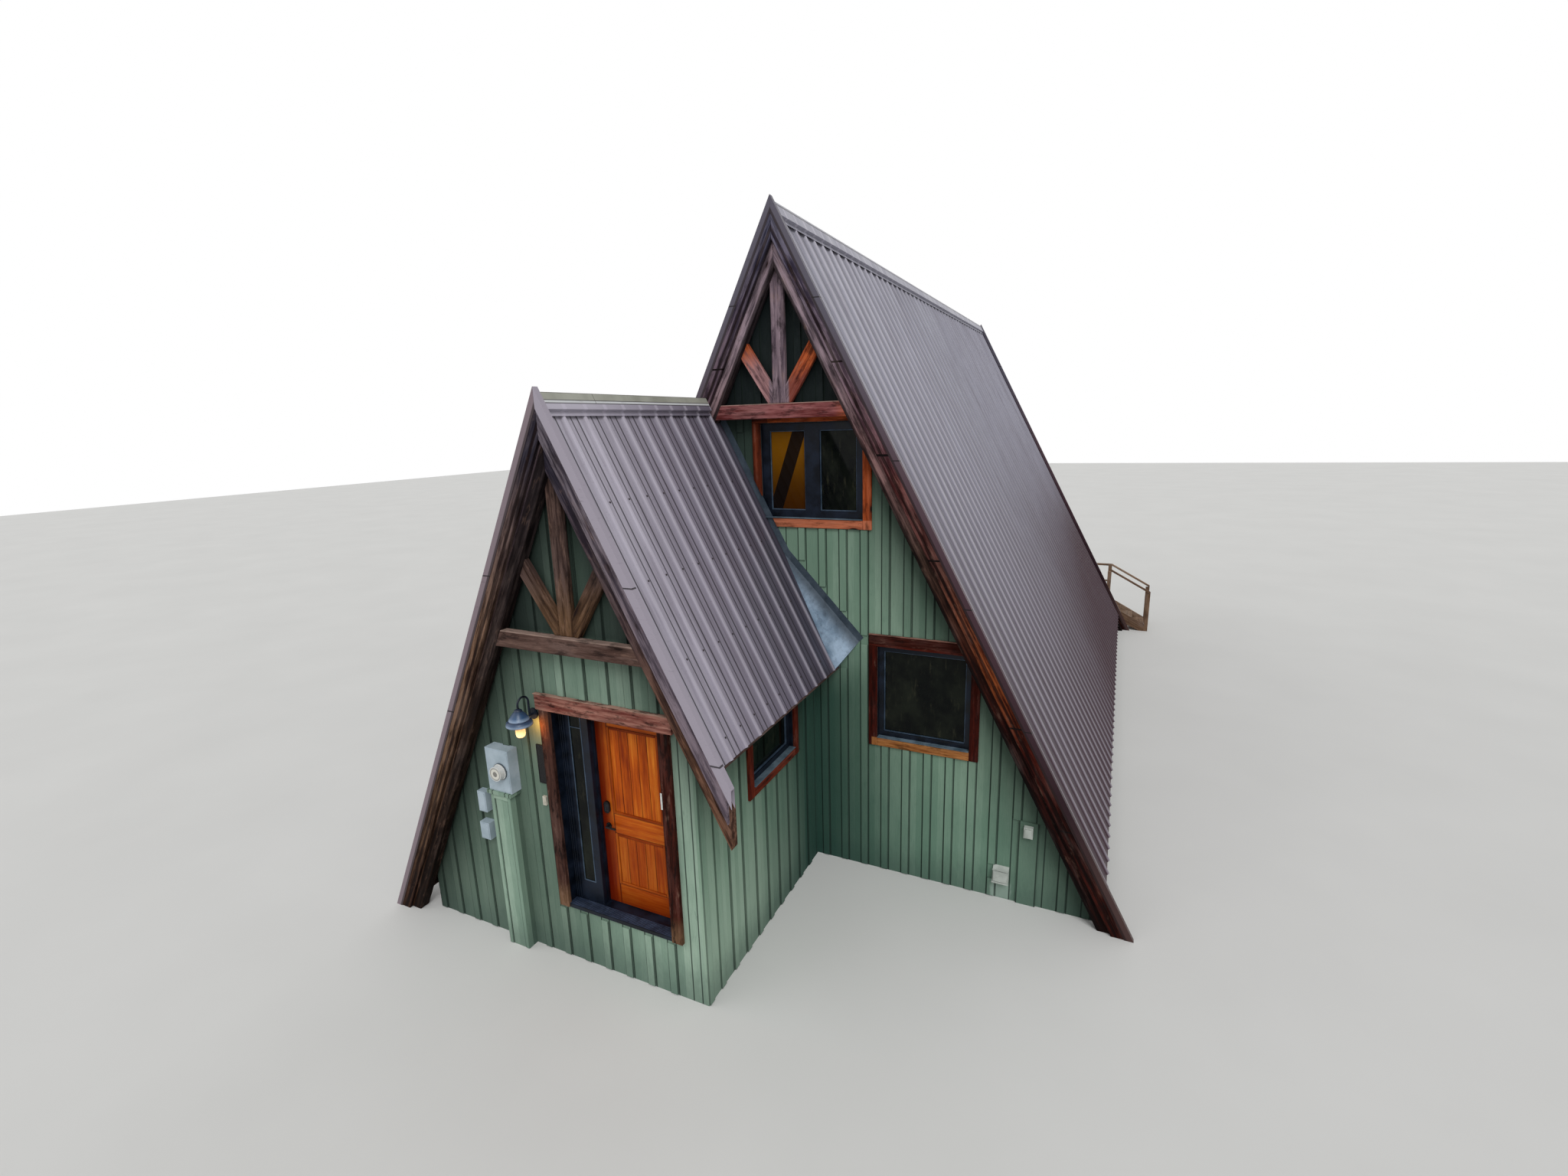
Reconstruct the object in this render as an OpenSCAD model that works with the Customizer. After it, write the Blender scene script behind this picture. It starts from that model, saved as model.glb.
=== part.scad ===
// A-frame cabin with a steep ribbed-metal roof that runs to the ground and a smaller entry gable in front.
// X runs along the front, Y runs back from the front gables, Z is up. Sizes are in millimetres.
// Inside the modules the origin is at ground level under the ridge, on the face of the main front gable;
// site() then moves the whole cabin so that its footprint is centred on the origin.

/* [Roof shape] */
// Pitch of both roofs, in degrees
roof_pitch = 62.7; // [60:0.1:65]
// Half the width of the main gable at the ground
main_half_w = 4140; // [3400:10:5000]
// Length of the main roof from gable face to gable face
main_len = 12600; // [9000:50:16000]
// Height of the outer line of the main roof at its eaves
main_eave_z = 440; // [350:10:600]
// Half the width of the entry gable at the ground
entry_half_w = 3085; // [2800:5:3400]
// How far the entry gable stands out in front of the main gable
entry_out = 2800; // [2200:10:3600]
// How far the left slope of the entry lies inside the left slope of the main roof
entry_set_in = 111; // [105:1:140]
// Height of the outer line of the entry roof at its right eave
entry_eave_z = 2720; // [2600:10:2850]
// Height of the outer line of the entry roof at its left eave
entry_low_eave_z = 300; // [250:10:400]
// How far the roofs stand out beyond the gable walls
overhang = 200; // [190:5:260]

/* [Roof layers] */
// Depth of the roofing pans below the outer line of the roof
pan_depth = 90; // [80:1:100]
// Thickness of the roofing pans
pan_t = 8; // [6:1:10]
// Depth of the underside of the roof deck below the outer line
deck_depth = 150; // [140:1:170]
// Height of the roofing ribs
rib_h = 26; // [15:1:30]
// Width of a rib at its foot
rib_foot_w = 60; // [40:1:70]
// Width of a rib at its top
rib_top_w = 24; // [15:1:35]
// Spacing of the ribs on the main roof
main_rib_pitch = 270; // [200:1:320]
// Spacing of the ribs on the entry roof
entry_rib_pitch = 279; // [200:1:320]
// Width of each flange of the ridge caps
cap_flange_w = 165; // [120:5:220]
// Thickness of the ridge caps
cap_t = 4; // [3:1:6]
// Depth of the ridge caps below the outer line
cap_depth = 20; // [10:1:30]

/* [Gable trim] */
// Thickness of the edge flashing
flashing_t = 4; // [3:1:6]
// Height of the face leg of the edge flashing
flashing_leg = 84; // [60:1:88]
// Width of the top leg of the edge flashing
flashing_top_w = 60; // [50:1:90]
// Thickness of the barge boards
barge_t = 38; // [25:1:50]
// Height of the barge boards
barge_h = 200; // [150:1:250]
// Thickness of the gable rafters behind the barge boards
rafter_t = 120; // [80:1:125]
// Height of the gable rafters
rafter_h = 180; // [140:1:220]
// How far the boards of the entry run past the outer line at the right eave
barge_tip_run = 30; // [10:1:60]
// Height of the collar ties
tie_h = 170; // [120:1:200]
// Thickness of the collar ties
tie_t = 90; // [60:1:110]
// Height of the underside of the main collar tie below the main ridge
main_tie_drop = 2352; // [2200:1:2500]
// Height of the underside of the entry collar tie below the entry ridge
entry_tie_drop = 2425; // [2300:1:2550]
// Width of the king posts and struts
web_w = 165; // [120:1:190]
// Thickness of the king posts and struts
web_t = 60; // [40:1:70]
// Distance from the flashing face back to the king posts and struts
web_set_back = 100; // [60:1:105]
// Slope of the struts, in degrees
strut_angle = 57; // [50:1:65]
// Distance of the struts' centre lines from the ridge at the top of the tie
strut_foot_run = 50; // [20:1:120]

/* [Walls and floors] */
// Thickness of the outer walls
wall_t = 200; // [150:5:250]
// Thickness of the entry's front wall
entry_front_t = 240; // [200:5:260]
// Thickness of the low walls under the eaves
low_wall_t = 150; // [120:5:200]
// Distance from the main ridge to the outer face of the low walls
low_wall_run = 3740; // [3000:10:4600]
// Distance from the entry ridge to the outer face of the entry's right wall
entry_wall_run = 1270; // [1150:10:1320]
// Distance from the entry ridge to the outer face of the entry's low left wall
entry_low_run = 2530; // [2250:10:2560]
// Height of the ground floor
floor_z = 650; // [500:10:700]
// Thickness of the ground floor
floor_t = 200; // [150:10:250]
// Height of the top of the upper floor
loft_z = 3600; // [3500:10:3800]
// Thickness of the upper floor
loft_t = 200; // [150:10:250]
// Height of the passage from the entry into the main room
passage_h = 2350; // [2000:10:2500]
// Thickness of the boards that close the eaves
fascia_t = 25; // [18:1:35]
// Height of the boards that close the eaves
fascia_h = 140; // [100:1:170]

/* [Windows] */
// Width of the trim boards round the windows
trim_w = 105; // [70:1:110]
// Thickness of the trim boards
trim_t = 30; // [20:1:36]
// Height of the head boards over the windows
head_h = 150; // [100:1:170]
// Open joint between neighbouring boards
board_joint = 2; // [1:0.5:3]
// Depth of the window frames
frame_t = 70; // [50:1:90]
// Distance from the wall face back to the window frames
frame_set_back = 40; // [20:1:80]
// Width of the sash bars of the upper window
sash_w = 93; // [70:1:105]
// Width of the frame bars of the fixed windows
frame_w = 65; // [50:1:90]
// Thickness of the glass units
glass_t = 14; // [10:1:24]
// Width of the upper window opening
upper_win_w = 1295; // [1100:5:1400]
// Height of the upper window opening
upper_win_h = 1130; // [1000:10:1200]
// Distance from the top of the upper window opening up to the collar tie
upper_win_drop = 50; // [20:1:100]
// Distance from the main ridge to the left side of the upper window opening
upper_win_x = -306; // [-400:2:-200]
// Width of the lower window opening
lower_win_w = 1115; // [900:5:1200]
// Height of the lower window opening
lower_win_h = 1168; // [1000:2:1250]
// Height of the lower window opening above the ground
lower_win_z = 1820; // [1700:10:1900]
// Distance from the lower window's top right corner to the roof deck
lower_win_gap = 149; // [110:1:200]
// Width of the side window opening
side_win_w = 1040; // [800:10:1200]
// Height of the side window opening
side_win_h = 500; // [400:10:550]
// Height of the side window opening above the ground
side_win_z = 1845; // [1700:5:1950]
// Distance from the main wall to the side window opening
side_win_gap = 699; // [500:1:900]

/* [Front door] */
// Width of the door leaf
door_w = 914; // [800:1:1000]
// Height of the door leaf
door_h = 2134; // [2030:1:2150]
// Thickness of the door leaf
door_t = 45; // [38:1:55]
// Distance from the entry ridge to the free edge of the leaf
door_run = -35; // [-80:1:0]
// Gap round the leaf
door_gap = 7; // [7:1:9]
// Width of the leaf's stiles
stile_w = 148; // [100:1:170]
// Height of the leaf's bottom rail
bottom_rail_h = 238; // [150:1:300]
// Height of the leaf's lower panel
low_panel_h = 590; // [450:1:640]
// Height of the leaf's middle rail
mid_rail_h = 230; // [150:1:260]
// Height of the leaf's top rail
top_rail_h = 115; // [90:1:160]
// Depth of the leaf's sunk panels
panel_sink = 10; // [6:1:14]
// Height of the threshold above the floor
threshold_h = 40; // [20:1:45]
// Width of the sidelight's glass
sidelight_w = 155; // [120:1:200]
// Height of the panel under the sidelight's glass
sidelight_panel_h = 240; // [150:5:400]
// Width of the post between the sidelight and the leaf
mullion_w = 85; // [60:1:100]
// Width of the frame at the left of the sidelight
side_jamb_w = 140; // [100:1:160]
// Width of the frame at the hinge side
jamb_w = 40; // [30:1:60]
// Height of the frame over the leaf
door_head_h = 48; // [40:1:60]
// Width of the post trims beside the door
post_trim_w = 125; // [90:1:140]
// Thickness of the post trims and the header board
post_trim_t = 45; // [30:1:55]
// Lap of the post trims over the door opening
post_lap = 20; // [0:1:30]
// Height of the header board
header_h = 165; // [120:1:200]
// Length of the header board past the post trims
header_over = 40; // [0:1:60]

/* [Rear stair] */
// Width of the rear stair and its landing
stair_w = 900; // [800:10:1100]
// Number of treads between the landing and the ground
stair_treads = 3; // [2:1:4]
// Depth of a tread
tread_d = 290; // [250:5:320]
// Distance from the ridge to the stair end of the landing
landing_run = 3600; // [3000:10:3800]
// Length of the landing along the wall
landing_len = 2300; // [2250:10:2400]
// Height of the handrail above the treads
handrail_h = 900; // [850:10:1000]

/* [Cricket] */
// Height of the cricket's top on the main wall
cricket_top_z = 4076; // [3900:10:4200]
// Distance from the entry's eave out to the cricket's tip
cricket_kick = 265; // [150:5:300]
// Height of the cricket's tip above the entry's eave
cricket_lift = 344; // [200:5:400]

/* [Wall fittings] */
// Width of the meter box
meter_w = 320; // [260:5:380]
// Height of the meter box
meter_h = 485; // [400:5:520]
// Depth of the meter box
meter_d = 130; // [100:5:160]
// Height of the underside of the meter box
meter_z = 1905; // [1900:5:2000]
// Width of the boxed chase under the meter box
chase_w = 280; // [200:5:310]
// Depth of the chase
chase_d = 120; // [80:5:140]
// Distance of the lamp from the door opening
lamp_gap = 210; // [180:5:300]
// Height of the lamp's wall plate
lamp_z = 2820; // [2760:5:2880]
// Reach of the lamp's arm
lamp_reach = 200; // [160:5:260]
// Radius of the lamp's shade
shade_r = 130; // [100:2:150]
// Distance from the main ridge to the outlet
outlet_run = 2985; // [2800:5:3100]
// Height of the outlet's centre
outlet_z = 970; // [800:5:1100]
// Distance from the main ridge to the vent hood
vent_run = 2700; // [2500:5:2740]
// Height of the vent hood's underside
vent_z = 245; // [150:5:300]

/* [Hidden] */
$fn = 48;

tanp = tan(roof_pitch);
cosp = cos(roof_pitch);
sinp = sin(roof_pitch);
far = 20000;
main_apex = main_half_w * tanp;
entry_apex = entry_half_w * tanp;
// The entry's left slope runs beside the main roof's left slope, which sets where its ridge is
entry_x = -main_half_w + entry_half_w + entry_set_in / sinp;
sheet_depth = pan_depth + pan_t;
rib_depth = pan_depth - rib_h;
barge_depth = flashing_t + barge_h;
rafter_depth = deck_depth + rafter_h;
deck_y = flashing_t + barge_t;
rafter_y = deck_y + rafter_t;
entry_face_y = -entry_out + overhang;
entry_right_x = entry_x + entry_wall_run;
entry_left_x = entry_x - entry_low_run;
barge_tip = line_run(entry_apex, 0, entry_eave_z) + barge_tip_run;
main_tie_z = main_apex - main_tie_drop;
entry_tie_z = entry_apex - entry_tie_drop;
back_face_y = main_len - overhang;
front_inner_y = overhang + wall_t;
back_inner_y = back_face_y - wall_t;
// Clearance where one roof is notched round the other
notch_gap = 2;
// Clearance under which sloped pieces are seated on each other
seat = 0.3;
deck_top = sheet_depth + seat;
under_deck = deck_depth + seat;
under_rafter = rafter_depth + seat;
ridge_gap = 30;
cap_lip_w = 45;
cap_lip_t = 5;
main_first_rib = 256;
entry_first_rib = 251;
flashing_tip = 50;
upstand_h = 80;
upstand_t = 4;

leaf_x0 = entry_x + door_run;
leaf_x1 = leaf_x0 + door_w;
leaf_z0 = floor_z + threshold_h + 8;
leaf_z1 = leaf_z0 + door_h;
leaf_y1 = entry_face_y + entry_front_t;
leaf_y0 = leaf_y1 - door_t;
glass_x1 = leaf_x0 - door_gap - mullion_w;
glass_x0 = glass_x1 - sidelight_w;
door_hole = [glass_x0 - side_jamb_w, leaf_x1 + door_gap + jamb_w, leaf_z1 + door_gap + door_head_h];
door_frame_d = 140;
stop_w = 12;
stop_d = 30;
hinge_x = leaf_x1 + 3;
hinge_r = 8;
hinge_plate_t = 6;
hinge_y = leaf_y1 + 5 + hinge_r;
hinge_h = 100;
lever_z = leaf_z0 + 902;
lever_x = leaf_x0 + 75;
lever_len = 125;
lock_rise = 215;

// Windows as [left, width, bottom, height, number of panes, frame bar width]
upper_win_z = main_tie_z - upper_win_drop - upper_win_h;
lower_win_x = line_run(main_apex, deck_depth, lower_win_z + lower_win_h) - lower_win_gap - lower_win_w;
upper_win = [upper_win_x, upper_win_w, upper_win_z, upper_win_h, 2, sash_w];
lower_win = [lower_win_x, lower_win_w, lower_win_z, lower_win_h, 1, frame_w];
side_win = [overhang - side_win_gap - side_win_w, side_win_w, side_win_z, side_win_h, 1, frame_w];
rear_upper_win = [-upper_win_w / 2, upper_win_w, upper_win_z, upper_win_h, 2, sash_w];
rear_lower_win = [-lower_win_w, lower_win_w, lower_win_z, lower_win_h, 1, frame_w];

rear_door_w = 914;
rear_door_h = 2032;
rear_jamb_w = 60;
rear_door_t = 45;
rear_door_x1 = line_run(main_apex, deck_depth, floor_z + rear_door_h + rear_jamb_w) - 200;
rear_door_x0 = rear_door_x1 - rear_door_w - 2 * rear_jamb_w;
rear_door_z1 = floor_z + rear_door_h + rear_jamb_w;

door_post_x0 = door_hole[0] + post_lap - post_trim_w;
door_post_x1 = door_hole[1] - post_lap + post_trim_w;
lamp_x = door_hole[0] - lamp_gap;
arm_r = 11;
arm_bend = 70;
shade_top_z = lamp_z + 85;
shade_h = 150;
shade_roof = 54;
meter_x0 = lamp_x - 630;
chase_x0 = meter_x0;
plaque_w = 100;
plaque_h = 430;
small_box_w = 120;

stair_y0 = main_len + 20;
stair_y1 = stair_y0 + stair_w;
stair_rise = floor_z / (stair_treads + 1);
stair_end_x = landing_run + stair_treads * tread_d;
plank_t = 45;
stair_post_w = 90;
string_drop = 260;
string_foot_w = 120;
land_x0 = landing_run - landing_len;
rail_end_x = stair_end_x + stair_post_w;
site_x = -(rail_end_x - main_half_w) / 2;
lamp_front_y = entry_face_y - lamp_reach - shade_r;
site_y = -(stair_y1 + min(lamp_front_y, -entry_out)) / 2;

// Height, at a distance from the ridge, of the line a given depth inside the roof's outer line
function line_z(apex, depth, run) = apex - depth / cosp - run * tanp;
// Distance from the ridge, at a height, of the line a given depth inside the roof's outer line
function line_run(apex, depth, z) = (apex - depth / cosp - z) / tanp;
// Point on the right slope: s is measured down the outer line from its apex, depth square into the roof
function roof_point(apex, s, depth) = [s * cosp - depth * sinp, apex - s * sinp - depth * cosp];
// Distance down the outer line from its apex to a height
function slope_len(apex, z) = (apex - z) / sinp;

module site() {
  translate([site_x, site_y, 0]) children();
}

// Extrudes a drawing of the gable (x across, y up) from y0 back to y1
module along_y(y0, y1) {
  translate([0, y1, 0]) rotate([90, 0, 0]) linear_extrude(y1 - y0) children();
}

// The same, by distances a and b in from the face of a gable; dir is 1 at the front and -1 at the back
module from_face(face, dir, a, b) {
  along_y(min(face + dir * a, face + dir * b), max(face + dir * a, face + dir * b)) children();
}

// Extrudes a drawing of the side wall (x along the cabin, y up) from x0 to x1
module along_x(x0, x1) {
  translate([x0, 0, 0]) rotate([90, 0, 90]) linear_extrude(x1 - x0) children();
}

module rect(x0, z0, x1, z1) {
  translate([x0, z0]) square([x1 - x0, z1 - z0]);
}

module block(x0, y0, z0, x1, y1, z1) {
  translate([x0, y0, z0]) cube([x1 - x0, y1 - y0, z1 - z0]);
}

// Everything under both slopes of the line a given depth inside the roof
module tent(apex, depth) {
  run = line_run(apex, depth, 0);
  polygon([[-run, 0], [0, line_z(apex, depth, 0)], [run, 0]]);
}

// One slope between two depths, cut square at the eave; side is 1 for right and -1 for left
module slope(apex, side, d0, d1, eave_z) {
  foot0 = roof_point(apex, slope_len(apex, eave_z), d0);
  foot1 = roof_point(apex, slope_len(apex, eave_z), d1);
  polygon([
    [0, line_z(apex, d0, 0)],
    [side * foot0[0], foot0[1]],
    [side * foot1[0], foot1[1]],
    [0, line_z(apex, d1, 0)]
  ]);
}

// One leg of a gable board from the ridge to the ground, with half an open joint at the ridge
module gable_leg(apex, side, d0, d1) {
  j = board_joint / 2;
  polygon([
    [side * j, line_z(apex, d0, j)],
    [side * line_run(apex, d0, 0), 0],
    [side * line_run(apex, d1, 0), 0],
    [side * j, line_z(apex, d1, j)]
  ]);
}

// Trapezoid-ribbed sheet in section: x along the cabin, y out from the deck
module ribbed_section(len, pitch, first) {
  count = floor((len - first - rib_foot_w / 2) / pitch) + 1;
  top = pan_t + rib_h;
  ribs = [for (i = [0:count - 1]) for (p = [
    [-rib_foot_w / 2, pan_t],
    [-rib_top_w / 2, top],
    [rib_top_w / 2, top],
    [rib_foot_w / 2, pan_t]
  ]) [first + i * pitch + p[0], p[1]]];
  polygon(concat([[0, 0], [0, pan_t]], ribs, [[len, pan_t], [len, 0]]));
}

// Ribbed sheet on a right-hand slope, from a gap below the ridge down to the eave
module slope_sheet(apex, eave_z, y0, len, pitch, first) {
  full = line_run(apex, 0, eave_z) / cosp - sheet_depth * tanp;
  translate([ridge_gap * cosp, y0, line_z(apex, sheet_depth, 0) - ridge_gap * sinp])
    rotate([90 + roof_pitch, 0, 90])
      linear_extrude(full - ridge_gap) ribbed_section(len, pitch, first);
}

// Ridge cap in section: two flanges with a turned-down hem and a lower lip on the ribs
module cap_section(apex) {
  s0 = cap_depth * tanp + cap_flange_w;
  lip = rib_depth - seat;
  half = [
    [0, line_z(apex, cap_depth, 0)],
    roof_point(apex, s0, cap_depth),
    roof_point(apex, s0, lip - cap_lip_t),
    roof_point(apex, s0 + cap_lip_w, lip - cap_lip_t),
    roof_point(apex, s0 + cap_lip_w, lip),
    roof_point(apex, s0 - cap_t, lip),
    roof_point(apex, s0 - cap_t, cap_depth + cap_t),
    [0, line_z(apex, cap_depth + cap_t, 0)]
  ];
  polygon(concat(half, [for (i = [len(half) - 2:-1:1]) [-half[i][0], half[i][1]]]));
}

// The room left for the entry roof beside the main gable's barge board
module barge_notch() {
  tent(main_apex, barge_depth + notch_gap);
}

// The room left for the entry roof behind the main gable's rafter, below the collar tie
module rafter_notch() {
  intersection() {
    tent(main_apex, rafter_depth + notch_gap);
    rect(entry_x, 0, far, main_tie_z - notch_gap);
  }
}

module main_deck(side) {
  site() along_y(deck_y, main_len - deck_y) slope(main_apex, side, deck_top, deck_depth, main_eave_z);
}

// A layer of the entry's slope, notched round the main gable's barge board
module entry_layer(side, d0, d1, eave_z) {
  along_y(-entry_out + deck_y, 0) translate([entry_x, 0]) slope(entry_apex, side, d0, d1, eave_z);
  along_y(0, deck_y) intersection() {
    translate([entry_x, 0]) slope(entry_apex, side, d0, d1, eave_z);
    barge_notch();
  }
}

// The part of the entry's right slope that reaches back past the rafter to the main wall
module entry_reach(d0, d1) {
  along_y(deck_y, overhang) intersection() {
    translate([entry_x, 0]) slope(entry_apex, 1, d0, d1, entry_eave_z);
    rafter_notch();
  }
}

module main_roof_left() {
  color("peru") main_deck(-1);
}

module main_roof_right() {
  color("peru") main_deck(1);
}

module entry_roof_left() {
  color("peru") site() entry_layer(-1, deck_top, deck_depth, entry_low_eave_z);
}

module entry_roof_right() {
  color("peru") site() {
    entry_layer(1, deck_top, deck_depth, entry_eave_z);
    entry_reach(deck_top, deck_depth);
  }
}

module main_roofing() {
  color("slategray") site() for (side = [0, 1]) mirror([side, 0, 0])
    slope_sheet(main_apex, main_eave_z, deck_y, main_len - 2 * deck_y, main_rib_pitch, main_first_rib);
}

module entry_roofing() {
  y0 = -entry_out + deck_y;
  color("dimgray") site() {
    intersection() {
      translate([entry_x, 0, 0])
        slope_sheet(entry_apex, entry_eave_z, y0, entry_out, entry_rib_pitch, entry_first_rib);
      union() {
        along_y(y0 - 1, 0) rect(-far, 0, far, far);
        along_y(0, deck_y + 1) barge_notch();
      }
    }
    entry_reach(pan_depth, sheet_depth);
    translate([entry_x, 0, 0]) mirror([1, 0, 0])
      slope_sheet(entry_apex, entry_low_eave_z, y0, -y0, entry_rib_pitch, entry_first_rib);
  }
}

module main_ridge_cap() {
  color("silver") site() along_y(flashing_top_w, main_len - flashing_top_w) cap_section(main_apex);
}

module entry_ridge_cap() {
  color("ivory") site() translate([entry_x, 0, 0])
    along_y(-entry_out + flashing_top_w, 0) cap_section(entry_apex);
}

// Edge flashing over one slope of a gable, clipped at the tip of an eave
module flashing_leg_solid(face, dir, apex, side, tip) {
  intersection() {
    union() {
      from_face(face, dir, 0, flashing_t) gable_leg(apex, side, 0, flashing_leg);
      from_face(face, dir, 0, flashing_top_w) gable_leg(apex, side, 0, flashing_t);
      from_face(face, dir, flashing_top_w - flashing_t, flashing_top_w) gable_leg(apex, side, 0, pan_depth - seat);
    }
    from_face(face, dir, -1, far) rect(-far, 0, tip, far);
  }
}

module edge_flashing() {
  color("rosybrown") site() {
    for (side = [-1, 1]) {
      flashing_leg_solid(0, 1, main_apex, side, far);
      flashing_leg_solid(main_len, -1, main_apex, side, far);
      translate([entry_x, 0, 0])
        flashing_leg_solid(-entry_out, 1, entry_apex, side, barge_tip + flashing_tip);
    }
  }
}

// The six boards of one layer of gable trim, the entry's right one cut plumb past its eave
module gable_boards(a, b, d0, d1) {
  for (side = [-1, 1]) {
    from_face(0, 1, a, b) gable_leg(main_apex, side, d0, d1);
    from_face(main_len, -1, a, b) gable_leg(main_apex, side, d0, d1);
    translate([entry_x, 0, 0]) from_face(-entry_out, 1, a, b) intersection() {
      gable_leg(entry_apex, side, d0, d1);
      rect(-far, 0, barge_tip, far);
    }
  }
}

module barge_boards() {
  color("saddlebrown") site() gable_boards(flashing_t, deck_y, flashing_t, barge_depth);
}

module gable_rafters() {
  color("sienna") site() gable_boards(deck_y, rafter_y, under_deck, rafter_depth);
}

// A strut from the foot of the king post up to the rafter, drawn on the right of the ridge
module strut(apex, tie_z) {
  intersection() {
    translate([strut_foot_run, tie_z + tie_h]) rotate(strut_angle) rect(-web_w, -web_w / 2, far, web_w / 2);
    tent(apex, under_rafter);
    rect(web_w / 2 + board_joint, tie_z + tie_h, far, far);
  }
}

// King post and its two struts, standing on the collar tie under the rafters
module web_drawing(apex, tie_z) {
  intersection() {
    rect(-web_w / 2, tie_z + tie_h, web_w / 2, far);
    tent(apex, under_rafter);
  }
  strut(apex, tie_z);
  mirror([1, 0]) strut(apex, tie_z);
}

module truss_webs() {
  color("tan") site() {
    from_face(0, 1, web_set_back, web_set_back + web_t) web_drawing(main_apex, main_tie_z);
    from_face(main_len, -1, web_set_back, web_set_back + web_t) web_drawing(main_apex, main_tie_z);
    translate([entry_x, 0, 0]) from_face(-entry_out, 1, web_set_back, web_set_back + web_t)
      web_drawing(entry_apex, entry_tie_z);
  }
}

module tie_drawing(apex, tie_z) {
  intersection() {
    rect(-far, tie_z, far, tie_z + tie_h);
    tent(apex, under_rafter);
  }
}

module collar_ties() {
  color("chocolate") site() {
    from_face(0, 1, deck_y, deck_y + tie_t) tie_drawing(main_apex, main_tie_z);
    from_face(main_len, -1, deck_y, deck_y + tie_t) tie_drawing(main_apex, main_tie_z);
    translate([entry_x, 0, 0]) from_face(-entry_out, 1, deck_y, deck_y + tie_t)
      tie_drawing(entry_apex, entry_tie_z);
  }
}

// Board that closes an eave on the right, square to the slope
module fascia_drawing(apex, eave_z) {
  s = slope_len(apex, eave_z) + seat;
  polygon([
    roof_point(apex, s, sheet_depth),
    roof_point(apex, s + fascia_t, sheet_depth),
    roof_point(apex, s + fascia_t, sheet_depth + fascia_h),
    roof_point(apex, s, sheet_depth + fascia_h)
  ]);
}

module eave_fascia() {
  color("darkkhaki") site() {
    for (side = [0, 1]) mirror([side, 0, 0]) along_y(rafter_y, main_len - rafter_y) intersection() {
      fascia_drawing(main_apex, main_eave_z);
      rect(low_wall_run + notch_gap, 0, far, far);
    }
    translate([entry_x, 0, 0]) along_y(-entry_out + rafter_y, overhang) fascia_drawing(entry_apex, entry_eave_z);
    translate([entry_x, 0, 0]) mirror([1, 0, 0]) along_y(-entry_out + rafter_y, -notch_gap)
      fascia_drawing(entry_apex, entry_low_eave_z);
  }
}

// Corner points of the metal cricket that throws water off the corner between entry roof and main wall
cricket_top = [entry_x + line_run(entry_apex, pan_depth - seat, cricket_top_z), overhang, cricket_top_z];
cricket_foot = roof_point(entry_apex, slope_len(entry_apex, entry_eave_z), pan_depth - seat);
cricket_low = [entry_x + cricket_foot[0], deck_y, cricket_foot[1]];
cricket_back = [entry_x + cricket_foot[0], overhang, cricket_foot[1]];
cricket_tip = [entry_x + cricket_foot[0] + cricket_kick, overhang, cricket_foot[1] + cricket_lift];

// Bent cricket: the sloping pan, its upstand on the wall, and the step flashing from it up to the collar tie
module cricket_flashing() {
  overlap = 8;
  run = [cricket_tip[0] - cricket_top[0], cricket_tip[2] - cricket_top[2]];
  across = [-run[1], run[0]] / norm(run);
  foot = [cricket_top[0], cricket_top[2]] - across * overlap;
  tip = [cricket_tip[0], cricket_tip[2]] - across * overlap;
  color("lightsteelblue") site() {
    polyhedron(
      points = [cricket_top, cricket_low, cricket_tip, cricket_back],
      faces = [[0, 2, 1], [0, 3, 2], [1, 2, 3], [0, 1, 3]]
    );
    along_y(overhang - upstand_t, overhang) difference() {
      polygon([foot, tip, tip + across * upstand_h, foot + across * upstand_h]);
      translate([entry_x, 0]) tent(entry_apex, pan_depth - seat);
    }
    along_y(overhang - upstand_t, overhang) intersection() {
      translate([entry_x, 0]) slope(entry_apex, 1, pan_depth - upstand_h, pan_depth - seat, entry_eave_z);
      rafter_notch();
      rect(-far, cricket_top_z - upstand_h, far, far);
    }
  }
}

// Outline of a main gable wall under the roof deck, between the low walls
module gable_wall_drawing() {
  intersection() {
    tent(main_apex, under_deck);
    rect(-low_wall_run, 0, low_wall_run, far);
  }
}

module window_hole(w) {
  rect(w[0], w[2], w[0] + w[1], w[2] + w[3]);
}

// Way from the entry into the main room, below the entry's roof
module passage_hole() {
  intersection() {
    translate([entry_x, 0]) tent(entry_apex, deck_depth + wall_t);
    rect(-far, floor_z, entry_right_x - wall_t, floor_z + passage_h);
  }
}

module main_front_wall() {
  color("darkseagreen") site() along_y(overhang, front_inner_y) difference() {
    gable_wall_drawing();
    window_hole(upper_win);
    window_hole(lower_win);
    passage_hole();
  }
}

module main_back_wall() {
  color("darkseagreen") site() along_y(back_inner_y, back_face_y) difference() {
    gable_wall_drawing();
    window_hole(rear_upper_win);
    window_hole(rear_lower_win);
    rect(rear_door_x0, floor_z, rear_door_x1, rear_door_z1);
  }
}

// Low wall under the entry's left eave
module entry_low_wall_drawing() {
  intersection() {
    rect(entry_left_x, 0, entry_left_x + low_wall_t, far);
    translate([entry_x, 0]) tent(entry_apex, under_deck);
  }
}

module low_side_walls() {
  color("darkseagreen") site() {
    for (side = [0, 1]) mirror([side, 0, 0]) along_y(front_inner_y, back_inner_y) intersection() {
      rect(low_wall_run - low_wall_t, 0, low_wall_run, far);
      tent(main_apex, under_deck);
    }
    along_y(leaf_y1, deck_y) entry_low_wall_drawing();
    along_y(deck_y, overhang) intersection() {
      entry_low_wall_drawing();
      tent(main_apex, rafter_depth + notch_gap);
    }
  }
}

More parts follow.
